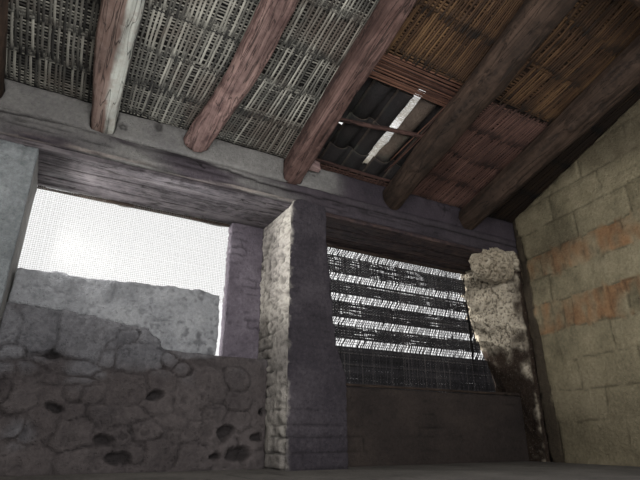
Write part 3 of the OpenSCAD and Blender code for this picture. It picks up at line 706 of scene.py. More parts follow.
def pier_relief(at, out):
    """Thin courses under worn mud; the reveal towards the left window is full of straw, painted pale as lit
    by the window, with painted shade between its lumps.
    """
    along, up = face_axes(at, out)
    waver = lump_noise(at, 0.12, 3, 61) * 0.014
    lengths = [1.9] * (len(PIER_BEDS) - 1)
    beds = Z_FLOOR + np.array(PIER_BEDS)
    edge, tone, _ = course_pattern(along + waver, up + waver, beds, lengths, 62)
    low = 1 - ease(up, Z_FLOOR + 0.75, Z_FLOOR + 1.2)
    shown = (0.35 + 0.65 * low) * patches(at, 0.3, 3, 63, -0.4, 0.3)
    joint = (1 - ease(edge, 0.002, 0.013)) * shown * ease(1 - np.abs(out[:, 2]), 0.4, 0.7)
    reveal = ease(-out[:, 0], 0.3, 0.7) * (1 - ease(at[:, 0], X_PIER + 0.03, X_PIER + 0.07))
    joint *= np.where(reveal > 0.5, 1.0, 0.45)
    coarse = lump_noise(at, 0.11, 4, 64, 0.6) * 0.014 * (1.3 - low)
    clod = np.abs(lump_noise(at, (0.09, 0.09, 0.06), 3, 67)) - 0.25
    fine = lump_noise(at, 0.03, 3, 65) * 0.006
    arris = PIER_LOW.y + 0.02
    wear = worn_arris(at, X_PIER, arris, 0.07, 0.03, 66)
    head = ease(at[:, 2], Z_SOFFIT - 0.08, Z_SOFFIT - 0.01)
    push = (coarse + fine - wear - reveal * clod * (0.055 - 0.03 * low)) * (1 - 0.8 * head) - 0.016 * joint
    # Painted light on the reveal, fading towards the floor, together with real wear showing pale along the
    # arris.
    painted_light_and_wear = np.maximum(reveal, ease(wear, 0.008, 0.02)) * (1 - 0.45 * low)
    return push, {"joint": np.maximum(joint * 0.8, reveal * 0.5 * ease(clod, 0.0, 0.25)), "tone": tone * 0.6,
                  "other": painted_light_and_wear}


def plaster_relief(at, out):
    """Mud plaster with faint courses; the reveals inside the wall are marked for a paler ground, as painted
    light.
    """
    along, up = face_axes(at, out)
    waver = lump_noise(at, 0.15, 3, 71) * 0.014
    lengths = [0.34] * (len(PIER_BEDS) - 1)
    edge, tone, _ = course_pattern(along + waver, up + waver, Z_FLOOR + np.array(PIER_BEDS), lengths, 72)
    joint = (1 - ease(edge, 0.002, 0.012)) * patches(at, 0.25, 3, 73, 0.0, 0.5)
    push = lump_noise(at, 0.25, 4, 74) * 0.008 + lump_noise(at, 0.03, 2, 75) * 0.002 - 0.008 * joint
    # Painted light: the reveals inside the wall take the paler ground, as lit by the sky.
    reveal = ease(np.abs(out[:, 0]), 0.5, 0.8) * (at[:, 1] > Y_IN + 0.02) * (at[:, 1] < Y_OUT - 0.02)
    return push, {"joint": joint * 0.7, "tone": tone * 0.5 + 0.2, "other": reveal * 0.8}


def nib_relief(at, out):
    """Bricks laid flat, half hidden under a skim of mud."""
    along, up = face_axes(at, out)
    waver = lump_noise(at, 0.08, 3, 81) * 0.024
    beds = np.arange(Z_FLOOR + 0.7, Z_SOFFIT + 0.1, 0.068)
    edge, tone, _ = course_pattern(along + waver, up + waver, beds, [0.24] * (len(beds) - 1), 82)
    shown = patches(at, 0.16, 3, 83, 0.0, 0.4)
    joint = (1 - ease(edge, 0.002, 0.011)) * shown
    push = lump_noise(at, 0.07, 4, 84, 0.65) * 0.016 - 0.011 * joint + (tone - 0.5) * 0.010 * shown
    return push, {"joint": joint * 0.5, "tone": 0.3 + 0.7 * tone * shown + lump_noise(at, 0.12, 3, 85) * 0.4}


def jamb_relief(at, out):
    """Lump earth full of straw: big knuckles, crumbs and dark clefts, plainer beside the end wall, and with
    its face towards the window painted lighter as lit.
    """
    rough_face = np.maximum(ease(-out[:, 0], 0.15, 0.6), ease(-out[:, 1], 0.4, 0.8))
    big = lump_noise(at, 0.22, 3, 91)
    knuckle = np.abs(lump_noise(at, 0.12, 3, 96))
    crumbs = lump_noise(at, 0.06, 4, 92, 0.75)
    cleft = veins(at, (0.12, 0.12, 0.16), 4, 93, 0.06, rough=0.65)
    push = rough_face * (big * 0.034 + (0.25 - knuckle) * 0.065 + crumbs * 0.034 - 0.016 * cleft)
    push += (1 - rough_face) * lump_noise(at, 0.2, 3, 94) * 0.006
    shade = ease(knuckle, 0.3, 0.6)
    fray = lump_noise(at, 0.1, 3, 97) * 0.04
    plain = ease(at[:, 0] + fray, X_CORNER - 0.075, X_CORNER - 0.02)
    low = 1 - ease(at[:, 2], Z_FLOOR + 0.38, Z_FLOOR + 0.62)
    dull = np.maximum(np.maximum(plain, 0.25 * low), 0.3 * patches(at, 0.35, 2, 95, 0.3, 0.6))
    # Painted light: the face towards the window gets a lighter tone.
    painted_lit = 1.5 * ease(-out[:, 0], 0.45, 0.8)
    return push * (1 - 0.6 * plain), {"joint": rough_face * np.maximum(cleft * 0.65, shade * 0.3),
                                      "tone": 0.5 + 0.9 * crumbs + 0.4 * big + painted_lit, "warm": dull}


# The lump that laps the lintels at the head of the right jamb: its middle from the corner, from the room's
# face of the wall and from the soffit, and its half sizes
LUMP_AT = (-0.30, 0.07, -0.075)
LUMP_HALF = (0.285, 0.145, 0.185)


def jamb_lump():
    """A rounded mass of the jamb's earth, squeezed against the lintels."""
    mesh = worked(bpy.data.meshes.new("jamb_lump"),
                  lambda work: bmesh.ops.create_icosphere(work, subdivisions=6, radius=1.0))
    unit = points_of(mesh)
    at = unit * np.array(LUMP_HALF) + np.array((X_CORNER, Y_IN, Z_SOFFIT)) + np.array(LUMP_AT)
    knuckle = np.abs(lump_noise(at, 0.12, 3, 396))
    crumbs = lump_noise(at, 0.06, 4, 392, 0.75)
    cleft = veins(at, (0.12, 0.12, 0.16), 4, 393, 0.06, rough=0.65)
    push = lump_noise(at, 0.2, 3, 391) * 0.025 + (0.25 - knuckle) * 0.04 + crumbs * 0.032 - 0.016 * cleft
    set_points(mesh, at + unit * push[:, None])
    # Painted shade darkens the lump's hollows, besides its clefts.
    marks = {"joint": np.maximum(0.6 * cleft, 0.7 * ease(hollow_of(mesh), *HOLLOW_SHADE_DEPTHS)),
             "tone": 0.5 + 0.9 * crumbs, "warm": 0.4 * patches(at, 0.3, 2, 395, 0.1, 0.5)}
    set_marks(mesh, **marks)
    smooth(mesh)
    dress("jamb_lump", mesh, adobe_jamb, "jamb_adobe")


# The crack along the head of the window wall, above the lit streak that is painted as a highlight, as pixels
# of the photograph on the room's face of the wall
CRACK = np.array([seen_at(x, y, Y_IN) for x, y in
                  ((12, 113), (60, 122), (100, 131), (145, 143), (175, 152), (220, 167), (270, 185))])
FORK = np.array([seen_at(x, y, Y_IN) for x, y in ((192, 155), (198, 161), (205, 168))])


def head_relief(at, out):
    """Mud over the lintels: smooth above a long crack, and furrowed and splintered like wood below it."""
    front = ease(-out[:, 1], 0.5, 0.8)
    line = np.interp(at[:, 0], CRACK[:, 0], CRACK[:, 1]) + lump_noise(at, 0.1, 3, 106) * 0.008
    above = at[:, 2] - line
    crack = 1 - ease(np.abs(above), 0.003, 0.011)
    fork_line = np.interp(at[:, 0], FORK[:, 0], FORK[:, 1])
    on_fork = (at[:, 0] > FORK[0, 0]) & (at[:, 0] < FORK[-1, 0])
    crack = np.maximum(crack, np.where(on_fork, 1 - ease(np.abs(at[:, 2] - fork_line), 0.004, 0.014), 0))
    below = 1 - ease(above, -0.01, 0.01)
    fibre = lump_noise(at, (0.55, 0.06, 0.022), 3, 101)
    furrow = veins(at, (0.9, 0.1, 0.045), 3, 102, 0.09)
    foot = 1 - ease(at[:, 2], Z_SOFFIT + 0.05, Z_SOFFIT + 0.11)
    splinter = foot * patches(at, (0.45, 0.1, 0.03), 3, 107, 0.0, 0.35)
    swell = lump_noise(at, 0.25, 3, 103) * 0.012
    grain = below * (fibre * 0.008 - 0.009 * furrow)
    push = swell + lump_noise(at, 0.04, 3, 104) * 0.003 + front * (grain - 0.014 * crack - 0.016 * splinter)
    # Blotches that grow darker towards the right.
    right = ease(at[:, 0], X_PIER - 0.3, X_PIER + 0.5)
    blotched = ease(lump_noise(at, (0.5, 0.5, 0.16), 3, 105) + below * 0.25 + right * 0.8, 0.0, 0.6)
    dark = np.maximum(crack * 0.95, below * furrow * 0.6)
    # The pale foot of the front face is a painted highlight: the lit lower edge of the lintels.
    return push, {"joint": front * np.maximum(dark, splinter * 0.4), "tone": 0.4 + 0.5 * fibre,
                  "warm": blotched * 0.95, "other": front * foot * (1 - right) * ease(fibre, -0.1, 0.3)}


def fill_relief(at, out):
    """Mud packed between the rafters, smoothed by hand, with a few cracks, and blotches that grow darker
    towards the right.
    """
    crack = veins(at, 0.5, 3, 121, 0.014)
    crack *= patches(at, 0.4, 2, 122, 0.0, 0.4)
    push = lump_noise(at, 0.3, 4, 123, 0.55) * 0.014 + lump_noise(at, 0.04, 3, 124) * 0.003 - 0.008 * crack
    right = ease(at[:, 0], X_PIER, X_PIER + 0.9)
    # Blotches that grow darker towards the right.
    blotched = ease(lump_noise(at, 0.4, 3, 125) + right * 1.5, 0.15, 0.9)
    return push, {"joint": crack * 0.8, "tone": 0.5 + 0.4 * lump_noise(at, 0.15, 3, 126), "warm": blotched}


def floor_relief(at, out):
    swell = lump_noise(at, 0.4, 4, 111) * 0.003
    crack = veins(at, 0.7, 3, 112, 0.012)
    up = ease(out[:, 2], 0.5, 0.9)
    return (swell - 0.005 * crack - 0.002) * up, {"joint": crack * 0.5, "tone": 0.5 + swell * 100}


def log_relief(seed, knots=(), squared=False, rough=1.0, painted_light_half=0):
    """A log lying up the slope: swells, adze dents, furrows, splits, and knots at x, u and n."""
    def relief(at, out):
        u, n = slope_of(at)
        turned = np.stack((at[:, 0], u, n), 1)
        swell = lump_noise(turned, (0.1, 0.4, 0.1), 3, seed) * (0.008 if squared else 0.011)
        dent = lump_noise(turned, (0.06, 0.11, 0.06), 3, seed + 4) * 0.006
        furrow = lump_noise(turned, (0.018, 0.3, 0.018), 3, seed + 1) * 0.005
        split = veins(turned, (0.06, 1.1, 0.06), 2, seed + 2, 0.045)
        split *= patches(turned, (0.3, 0.8, 0.3), 2, seed + 5, -0.2, 0.3)
        peeled = patches(turned, (0.08, 0.35, 0.08), 3, seed + 6, 0.0, 0.25)
        under = ease(-(out @ np.array(OFF_SLOPE)), -0.75, -0.3)
        push = (swell + dent + furrow - 0.012 * split - 0.004 * peeled) * rough
        dark = split * 0.75
        for x, ku, kn, reach in knots:
            away = np.sqrt((turned[:, 0] - x) ** 2 + (turned[:, 1] - ku) ** 2 + (turned[:, 2] - kn) ** 2)
            ring = np.sin(np.clip(away / reach, 0, 1) * math.pi)
            push += 0.012 * ring * (away < reach)
            dark = np.maximum(dark, 0.7 * (1 - ease(away, reach * 0.2, reach * 0.55)))
        painted_light_and_wear = np.zeros(len(at))
        # Painted light: the log's right half, its lit side, is marked pale.
        if painted_light_half:
            waver = lump_noise(turned, (0.1, 0.4, 0.1), 3, seed + 7) * 0.04
            painted_light_and_wear = ease(at[:, 0] - log_middle(painted_light_half, u) + waver, 0.0, 0.015)
        return push * under, {"joint": dark * under, "tone": 0.5 + swell * 40, "painted_light_and_wear": painted_light_and_wear, "bare": peeled}
    return relief


def timber_relief(seed):
    """A gnarled timber that runs along the wall."""
    def relief(at, out):
        swell = lump_noise(at, (0.5, 0.08, 0.06), 3, seed) * 0.006
        furrow = lump_noise(at, (0.5, 0.02, 0.012), 3, seed + 1) * 0.003
        split = veins(at, (0.9, 0.06, 0.03), 2, seed + 2, 0.05)
        knot = patches(at, (0.25, 0.1, 0.1), 2, seed + 3, 0.25, 0.6) * 0.006
        return swell + furrow + knot - 0.006 * split - 0.003, {"joint": split * 0.8, "tone": 0.5 + swell * 60}
    return relief


# Trees that repeat a shape

class Pattern(Wiring):
    """A Geometry Nodes tree with named inputs for its sizes."""

    SOCKETS = {int: "NodeSocketInt", float: "NodeSocketFloat", type(None): "NodeSocketMaterial"}

    def __init__(self, name, **sizes):
        self.tree = bpy.data.node_groups.new(name, "GeometryNodeTree")
        super().__init__(self.tree)
        self.inputs = {}
        for title, value in sizes.items():
            kind = self.SOCKETS[type(value)]
            socket = self.tree.interface.new_socket(title, in_out="INPUT", socket_type=kind)
            self.inputs[title] = socket.identifier
            if value is not None:
                socket.default_value = value
        self.tree.interface.new_socket("Mesh", in_out="OUTPUT", socket_type="NodeSocketGeometry")
        self.given = self.nodes.new("NodeGroupInput").outputs

    def triple(self, x=0.0, y=0.0, z=0.0):
        return self.step("ShaderNodeCombineXYZ", {0: x, 1: y, 2: z})

    def between(self, low, high, number, seed):
        """A random number for each element of that number."""
        wires = {2: low, 3: high, "ID": number, "Seed": seed}
        return self.node("FunctionNodeRandomValue", wires, data_type="FLOAT").outputs[1]

    def close(self, shape):
        """Ends the tree: real faces, in their finish."""
        real = self.step("GeometryNodeRealizeInstances", {"Geometry": shape})
        done = self.step("GeometryNodeSetMaterial", {"Geometry": real, "Material": self.given["Finish"]})
        self.links.new(done, self.nodes.new("NodeGroupOutput").inputs[0])

    def made(self, name, **sizes):
        """The plain mesh that the tree gives for these sizes."""
        holder = new_piece(name, bpy.data.meshes.new(name))
        modifier = holder.modifiers.new(self.tree.name, "NODES")
        modifier.node_group = self.tree
        for title, value in sizes.items():
            modifier[self.inputs[title]] = value
        return plain_mesh(holder)


def strand_pattern():
    """Strands side by side along X, each running along Y, rising and dipping as woven ones do."""
    tree = Pattern("strands", Count=10, Pitch=0.03, Length=1.0, Step=0.03, Width=0.015, Thickness=0.005,
                   Sway=0.005, Period=0.03, Jitter=0.003, Ragged=0.0, Wander=0.0, Missing=0.0, Seed=1,
                   Finish=None)
    given = tree.given
    line = tree.step("GeometryNodeMeshLine", {"Count": given["Count"], "Offset": tree.triple(given["Pitch"])})
    number = tree.step("GeometryNodeInputIndex")
    named = tree.step("GeometryNodeStoreNamedAttribute",
                      {"Geometry": line, "Name": "strand", "Value": number},
                      data_type="FLOAT", domain="POINT")
    dropped = tree.math("LESS_THAN", tree.between(0.0, 1.0, number, given["Seed"]), given["Missing"])
    kept = tree.step("GeometryNodeDeleteGeometry", {"Geometry": named, "Selection": dropped})
    strand = tree.step("GeometryNodeInputNamedAttribute", {"Name": "strand"}, data_type="FLOAT")
    turn = tree.math("ADD", given["Seed"], 1)
    aside = tree.math("MULTIPLY", tree.between(-1.0, 1.0, strand, turn), given["Jitter"])
    ahead = tree.math("MULTIPLY", tree.between(-1.0, 1.0, strand, tree.math("ADD", turn, 1)), given["Ragged"])
    spread = tree.step("GeometryNodeSetPosition", {"Geometry": kept, "Offset": tree.triple(aside, ahead)})
    straight = tree.step("GeometryNodeCurvePrimitiveLine", {"End": tree.triple(0.0, given["Length"])})
    points = tree.math("ADD", tree.math("DIVIDE", given["Length"], given["Step"]), 1.5)
    cut_up = tree.step("GeometryNodeResampleCurve", {"Curve": straight, "Count": points})
    laid = tree.step("GeometryNodeInstanceOnPoints", {"Points": spread, "Instance": cut_up})
    real = tree.step("GeometryNodeRealizeInstances", {"Geometry": laid})
    place = tree.node("ShaderNodeSeparateXYZ", {0: tree.step("GeometryNodeInputPosition")})
    phase = tree.math("ADD", tree.math("DIVIDE", place.outputs[1], given["Period"]), strand)
    rise = tree.math("MULTIPLY", tree.math("COSINE", tree.math("MULTIPLY", phase, math.pi)), given["Sway"])
    spot = tree.triple(tree.math("MULTIPLY", strand, 7.31), tree.math("MULTIPLY", place.outputs[1], 2.2))
    drift = tree.step("ShaderNodeTexNoise", {"Vector": spot, "Scale": 1.0, "Detail": 1.0})
    lean = tree.math("MULTIPLY", tree.math("SUBTRACT", drift, 0.5), given["Wander"])
    woven = tree.step("GeometryNodeSetPosition", {"Geometry": real, "Offset": tree.triple(lean, 0.0, rise)})
    flat = tree.step("GeometryNodeSetCurveNormal", {"Curve": woven}, mode="Z_UP")
    toned = tree.step("GeometryNodeStoreNamedAttribute",
                      {"Geometry": flat, "Name": "tone",
                       "Value": tree.between(0.0, 1.0, strand, tree.math("ADD", turn, 2))},
                      data_type="FLOAT", domain="POINT")
    profile = tree.step("GeometryNodeCurvePrimitiveQuadrilateral",
                        {"Width": given["Width"], "Height": given["Thickness"]}, mode="RECTANGLE")
    solid = tree.step("GeometryNodeCurveToMesh",
                      {"Curve": toned, "Profile Curve": profile, "Fill Caps": True})
    tree.close(solid)
    return tree


def tile_pattern():
    """Tapered half-round tiles in rows along X, each row running up along Y in overlapping courses."""
    tree = Pattern("tiles", Rows=3, Row_Pitch=0.2, Courses=3, Course=0.33, Length=0.42, Low_Radius=0.08,
                   High_Radius=0.062, Thickness=0.014, Open=10.0, Rise=1.0, Skew=0.02, Slip=0.008, Steps=3,
                   Seed=1, Finish=None)
    given = tree.given
    sheet = tree.step("GeometryNodeMeshGrid",
                      {"Size X": 1.0, "Size Y": 1.0, "Vertices X": 9, "Vertices Y": given["Steps"]})
    place = tree.node("ShaderNodeSeparateXYZ", {0: tree.step("GeometryNodeInputPosition")})
    up = tree.math("ADD", place.outputs[1], 0.5)
    half_turn = tree.math("SUBTRACT", 90.0, given["Open"])
    across = tree.math("MULTIPLY", place.outputs[0], 2.0)
    angle = tree.math("RADIANS", tree.math("MULTIPLY", across, half_turn))
    taper = tree.math("MULTIPLY", up, tree.math("SUBTRACT", given["High_Radius"], given["Low_Radius"]))
    radius = tree.math("ADD", given["Low_Radius"], taper)
    x = tree.math("MULTIPLY", radius, tree.math("SINE", angle))
    z = tree.math("MULTIPLY", tree.math("MULTIPLY", radius, tree.math("COSINE", angle)), given["Rise"])
    y = tree.math("MULTIPLY", up, given["Length"])
    bent = tree.step("GeometryNodeSetPosition", {"Geometry": sheet, "Position": tree.triple(x, y, z)})
    inner = tree.math("MULTIPLY", tree.math("MULTIPLY", given["Thickness"], given["Rise"]), -1.0)
    thick = tree.step("GeometryNodeExtrudeMesh",
                      {"Mesh": bent, "Offset Scale": inner, "Individual": False}, mode="FACES")
    back = tree.step("GeometryNodeFlipFaces", {"Mesh": bent})
    both = tree.nodes.new("GeometryNodeJoinGeometry")
    tree.links.new(thick, both.inputs[0])
    tree.links.new(back, both.inputs[0])
    tile = tree.step("GeometryNodeMergeByDistance", {"Geometry": both.outputs[0], "Distance": 0.0001})
    columns = tree.step("GeometryNodeMeshLine",
                        {"Count": given["Rows"], "Offset": tree.triple(given["Row_Pitch"])})
    courses = tree.step("GeometryNodeMeshLine",
                        {"Count": given["Courses"], "Offset": tree.triple(0.0, given["Course"])})
    rows = tree.step("GeometryNodeInstanceOnPoints", {"Points": columns, "Instance": courses})
    spots = tree.step("GeometryNodeRealizeInstances", {"Geometry": rows})
    number = tree.step("GeometryNodeInputIndex")
    skew = tree.math("MULTIPLY", tree.between(-1.0, 1.0, number, given["Seed"]), given["Skew"])
    other = tree.math("ADD", given["Seed"], 1)
    slip = tree.math("MULTIPLY", tree.between(-1.0, 1.0, number, other), given["Slip"])
    moved = tree.step("GeometryNodeSetPosition", {"Geometry": spots, "Offset": tree.triple(0.0, slip)})
    toned = tree.step("GeometryNodeStoreNamedAttribute",
                      {"Geometry": moved, "Name": "tone",
                       "Value": tree.between(0.0, 1.0, number, tree.math("ADD", other, 1))},
                      data_type="FLOAT", domain="POINT")
    laid = tree.step("GeometryNodeInstanceOnPoints",
                     {"Points": toned, "Instance": tile,
                      "Rotation": tree.triple(0.0, 0.0, skew)})
    tree.close(laid)
    return tree


def tube(name, route, radius, sides, tone):
    """A stick along a route: its radius may change from point to point, and it is capped at both ends."""
    route = np.asarray(route, float)
    radius = np.broadcast_to(radius, len(route))
    ahead = np.gradient(route, axis=0)
    ahead /= np.linalg.norm(ahead, axis=1)[:, None]
    side = np.cross(ahead, (0.0, 0.0, 1.0) if abs(ahead[0, 2]) < 0.9 else (1.0, 0.0, 0.0))
    side /= np.linalg.norm(side, axis=1)[:, None]
    top = np.cross(side, ahead)
    turn = np.arange(sides) * 2 * math.pi / sides
    ring = np.cos(turn)[None, :, None] * side[:, None] + np.sin(turn)[None, :, None] * top[:, None]
    at = (route[:, None] + ring * radius[:, None, None]).reshape(-1, 3)
    faces = [tuple(range(sides))[::-1], tuple(range(len(at) - sides, len(at)))]
    for j in range(len(route) - 1):
        for k in range(sides):
            near = j * sides + (k + 1) % sides
            faces.append((j * sides + k, near, near + sides, j * sides + k + sides))
    mesh = bpy.data.meshes.new(name)
    mesh.from_pydata(at.tolist(), [], faces)
    set_marks(mesh, tone=np.full(len(at), tone))
    smooth(mesh)
    return outward(mesh)


def rng_of(seed):
    return np.random.default_rng(seed)


# The rafters' own lines, read from the frame as the middle of each log at a place up the slope

RAFTERS = ["rafter_%d" % k for k in range(1, 7)]


def spread_at(mesh, height, levels):
    """The lowest and highest x of a mesh where its points' height passes each level."""
    at = points_of(mesh)
    ends = np.zeros(len(mesh.edges) * 2, np.int32)
    mesh.edges.foreach_get("vertices", ends)
    first, last = ends.reshape(-1, 2).T
    spread = []
    for level in levels:
        before, after = height[first] - level, height[last] - level
        cut = (before * after <= 0) & (before != after)
        share = before[cut] / (before[cut] - after[cut])
        x = at[first[cut], 0] + (at[last[cut], 0] - at[first[cut], 0]) * share
        spread.append((x.min(), x.max()))
    return np.array(spread).T


def log_lines():
    """For each rafter: u, and there x of its middle and half its width."""
    lines = []
    for node in RAFTERS:
        mesh = merged_copy(node)
        u, _ = slope_of(points_of(mesh))
        steps = np.linspace(u.min() + 0.02, u.max() - 0.02, 24)
        low, high = spread_at(mesh, u, steps)
        lines.append((steps, (low + high) / 2, (high - low) / 2))
    return lines


LINES = log_lines()


def log_middle(number, u):
    """x of the middle of a rafter, numbered from 1, at places up the slope."""
    steps, middle, _ = LINES[number - 1]
    return np.interp(u, steps, middle)


# Canes of the roof

# Lowest place of the tiles on the slope, and the upper ends of the mats and of the tiles
U_EAVE = float(slope_of(points_of(merged_copy("tile_channels")))[0].min())
U_TOP = 2.60
U_TILES = 2.6607
# How far the mats stay back from the outer edges of the slope
MAT_INSET = 0.004
BAYS = 7


def mat_edges(number, u):
    """The x of both edges of the mat in a bay, numbered from 1, at places up the slope."""
    left = log_middle(number - 1, u) if number > 1 else np.full(len(u), cad_low[0] + MAT_INSET)
    right = log_middle(number, u) if number < BAYS else np.full(len(u), cad_high[0] - MAT_INSET)
    return left, right


def lay_on_slope(mesh, number, width, u0, across, low=0.0, high=0.0, reach=1.0):
    """Puts strands made flat into a bay: across tells which of their axes runs along the wall."""
    at = points_of(mesh)
    x, u, n = (at[:, 1], at[:, 0], at[:, 2]) if across else at.T
    left, right = mat_edges(number, u + u0)
    tilt = low + (high - low) * np.clip(u / reach, 0, 1)
    share = x / width
    lean = CANES[number]["bend"] * np.clip((u + u0 - 0.6) / 1.2, -1, 1)
    share = share + lean * np.sin(math.pi * np.clip(share, 0, 1))
    spot = on_slope(left + (right - left) * share, u + u0, n + tilt)
    set_points(mesh, within_box(spot))
    return outward(mesh)


def mat_panel(strands, number, u0, u1, seed, finish):
    """One woven panel, its foot ragged, painted dark as shadow and hanging a little below the next panel down
    the slope; its head, under the next panel up, is painted dark as shade.
    """
    left, right = mat_edges(number, np.array([(u0 + u1) / 2]))
    width = float(right[0] - left[0])
    reach = u1 - u0
    cane = CANES[number]
    columns = max(2, round(width / cane["pitch"]))
    pitch = width / columns
    warps = strands.made(
        "warps", Count=columns, Pitch=pitch, Length=reach, Step=0.044, Width=pitch * cane["share"],
        Thickness=0.0045, Sway=0.0013, Period=0.07, Jitter=0.0035, Ragged=0.035, Wander=cane["wander"],
        Missing=cane["missing"], Seed=seed, Finish=finish)
    at = points_of(warps) + np.array((pitch / 2, 0, 0))
    set_points(warps, at)
    # Painted shadow at the panel's foot, painted shade at its head and over a shaded bay, and a darkening
    # near the wall.
    foot = 1 - ease(at[:, 1] + lump_noise(at, 0.09, 2, seed) * 0.05, 0.0, 0.06)
    head = ease(at[:, 1], reach - 0.07, reach - 0.01)
    darker_near_wall = cane["near_wall_dark"] * (1 - ease(at[:, 1] + u0 + lump_noise(at, 0.2, 2, seed + 9) * 0.15, 0.0, 0.75))
    set_marks(warps, joint=np.clip(0.8 * foot + 0.5 * head + cane["bay_shade"] + darker_near_wall, 0, 1))
    rows = max(2, round(reach / WEFT_PITCH))
    wefts = strands.made(
        "wefts", Count=rows, Pitch=WEFT_PITCH, Length=width, Step=pitch, Width=cane["weft"], Thickness=0.003,
        Sway=-0.0022, Period=pitch, Jitter=0.003, Ragged=0.0, Wander=0.008, Missing=0.08, Seed=seed + 50,
        Finish=finish)
    # The wefts lie behind the warps and are painted darker as shade.
    set_marks(wefts, joint=np.full(len(wefts.vertices), cane["weft_shade"] + cane["bay_shade"] * 0.5))
    return [lay_on_slope(warps, number, width, u0, False, 0.0005, 0.0085, reach),
            lay_on_slope(wefts, number, width, u0, True, 0.0045, 0.0125, reach)]


def shade_sheet(number, u0, u1, finish):
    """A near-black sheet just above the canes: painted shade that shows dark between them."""
    columns = 12
    rows = 40
    u = np.linspace(u0, u1, rows)
    left, right = mat_edges(number, u)
    share = np.linspace(0, 1, columns)
    x = left[:, None] + (right - left)[:, None] * share
    grid_u = np.broadcast_to(u[:, None], x.shape)
    flat = np.stack((x.ravel(), grid_u.ravel(), np.zeros(x.size)), 1)
    sag = lump_noise(flat, 0.18, 3, 130 + number) * 0.0018
    under = on_slope(flat[:, 0], flat[:, 1], 0.0165 + sag)
    over = on_slope(flat[:, 0], flat[:, 1], 0.0200)
    faces = []
    count = x.size
    for j in range(rows - 1):
        for k in range(columns - 1):
            a = j * columns + k
            faces.append((a, a + 1, a + 1 + columns, a + columns))
            faces.append(tuple(count + v for v in (a + columns, a + 1 + columns, a + 1, a)))
    rim = list(range(columns))
    rim += [j * columns + columns - 1 for j in range(1, rows)]
    rim += [(rows - 1) * columns + k for k in range(columns - 2, -1, -1)]
    rim += [j * columns for j in range(rows - 2, 0, -1)]
    for a, b in zip(rim, rim[1:] + rim[:1]):
        faces.append((a, b, count + b, count + a))
    mesh = bpy.data.meshes.new("shade_sheet")
    mesh.from_pydata(np.concatenate((under, over)).tolist(), [], faces)
    set_marks(mesh, tone=np.full(2 * count, 0.2))
    mesh.materials.append(finish)
    smooth(mesh)
    return outward(mesh)


# The canes of each bay: their spacing, the share of it that each fills, how much they wander, the width
# of the strips woven across them, how much painted shade darkens the bay and how much more the strips, the
# share of canes that are missing, the length of a panel, how far the canes lean over as they go up, and how
# much darker they grow near the wall
CANES = {
    1: dict(pitch=0.029, share=0.60, wander=0.026, weft=0.011, bay_shade=0.1, weft_shade=0.3, missing=0.04,
            panel=0.27, bend=0.04, near_wall_dark=0.25),
    2: dict(pitch=0.028, share=0.55, wander=0.026, weft=0.010, bay_shade=0.0, weft_shade=0.3, missing=0.05,
            panel=0.27, bend=-0.04, near_wall_dark=0.3),
    3: dict(pitch=0.027, share=0.54, wander=0.026, weft=0.009, bay_shade=0.0, weft_shade=0.3, missing=0.05,
            panel=0.29, bend=0.03, near_wall_dark=0.3),
    4: dict(pitch=0.027, share=0.53, wander=0.028, weft=0.009, bay_shade=0.0, weft_shade=0.3, missing=0.05,
            panel=0.31, bend=0.05, near_wall_dark=0.2),
    5: dict(pitch=0.021, share=0.72, wander=0.034, weft=0.0145, bay_shade=0.0, weft_shade=0.05, missing=0.02,
            panel=0.36, bend=0.10, near_wall_dark=0.0),
    6: dict(pitch=0.0205, share=0.74, wander=0.040, weft=0.0145, bay_shade=0.0, weft_shade=0.05, missing=0.01,
            panel=0.34, bend=0.20, near_wall_dark=0.0),
    7: dict(pitch=0.026, share=0.60, wander=0.030, weft=0.010, bay_shade=0.75, weft_shade=0.5, missing=0.02,
            panel=0.42, bend=0.0, near_wall_dark=0.0),
}
WEFT_PITCH = 0.0225
PANEL_LAP = 0.05


def cane_mat(name, number, stretches, strands, finishes, under, node):
    """A mat over one bay, laid in ragged panels over each stretch up the slope, each in its finish."""
    parts = []
    for (u0, u1), finish in zip(stretches, finishes):
        panels = max(1, round((u1 - u0) / CANES[number]["panel"]))
        step = (u1 - u0) / panels
        for k in range(panels):
            start = u0 + k * step
            end = min(u1, start + step + PANEL_LAP)
            parts += mat_panel(strands, number, start, end, 100 * number + k, finish)
    mesh = joined(name, parts)
    seat = joined("shade_sheet", [shade_sheet(number, u0, u1, under) for u0, u1 in stretches])
    whole = joined(name, [mesh, seat])
    piece = new_piece(name, whole)
    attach(piece, "root")
    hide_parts(node)


# Finishes

adobe_olive = earth_finish("end_wall_earth", "514c3c", "786f59", "9d937a", "2b251c",
                           warm=("614733", "9d7a58"), other=("221b16", "372e27"))
# The other ground of the straw mud is painted light: the pale reveal lit by the window.
adobe_mud = earth_finish("straw_mud", "201e22", "302c31", "4c474b", "100e0f",
                         other=("86807c", "c9c3b8"), straw=0.35)
# The other ground of the ash-grey mud is painted light: reveals lit by the sky.
adobe_ash = earth_finish("ash_grey_mud", "46494b", "707476", "999d9e", "1d1e1f", other=("7c7a77", "a8a5a0"))
adobe_low = earth_finish("low_wall_plaster", "1e1a19", "2e2826", "403833", "12100e", straw=0.1)
adobe_nib = earth_finish("nib_brick", "453f46", "5f5860", "7c757d", "221f23", straw=0.1)
adobe_jamb = earth_finish("lump_earth", "6b5f4e", "9c917e", "cdc3b1", "2b2219",
                          warm=("1f1713", "32271f"), straw=0.5)
stone_grey = earth_finish("field_stone", "3a393d", "58575a", "7a797c", "151314", warm=("302a2a", "4e4644"),
                          straw=0.05)
render_pale = earth_finish("pale_render", "5b5c5f", "7f8083", "a2a3a4", "343236", straw=0.08)
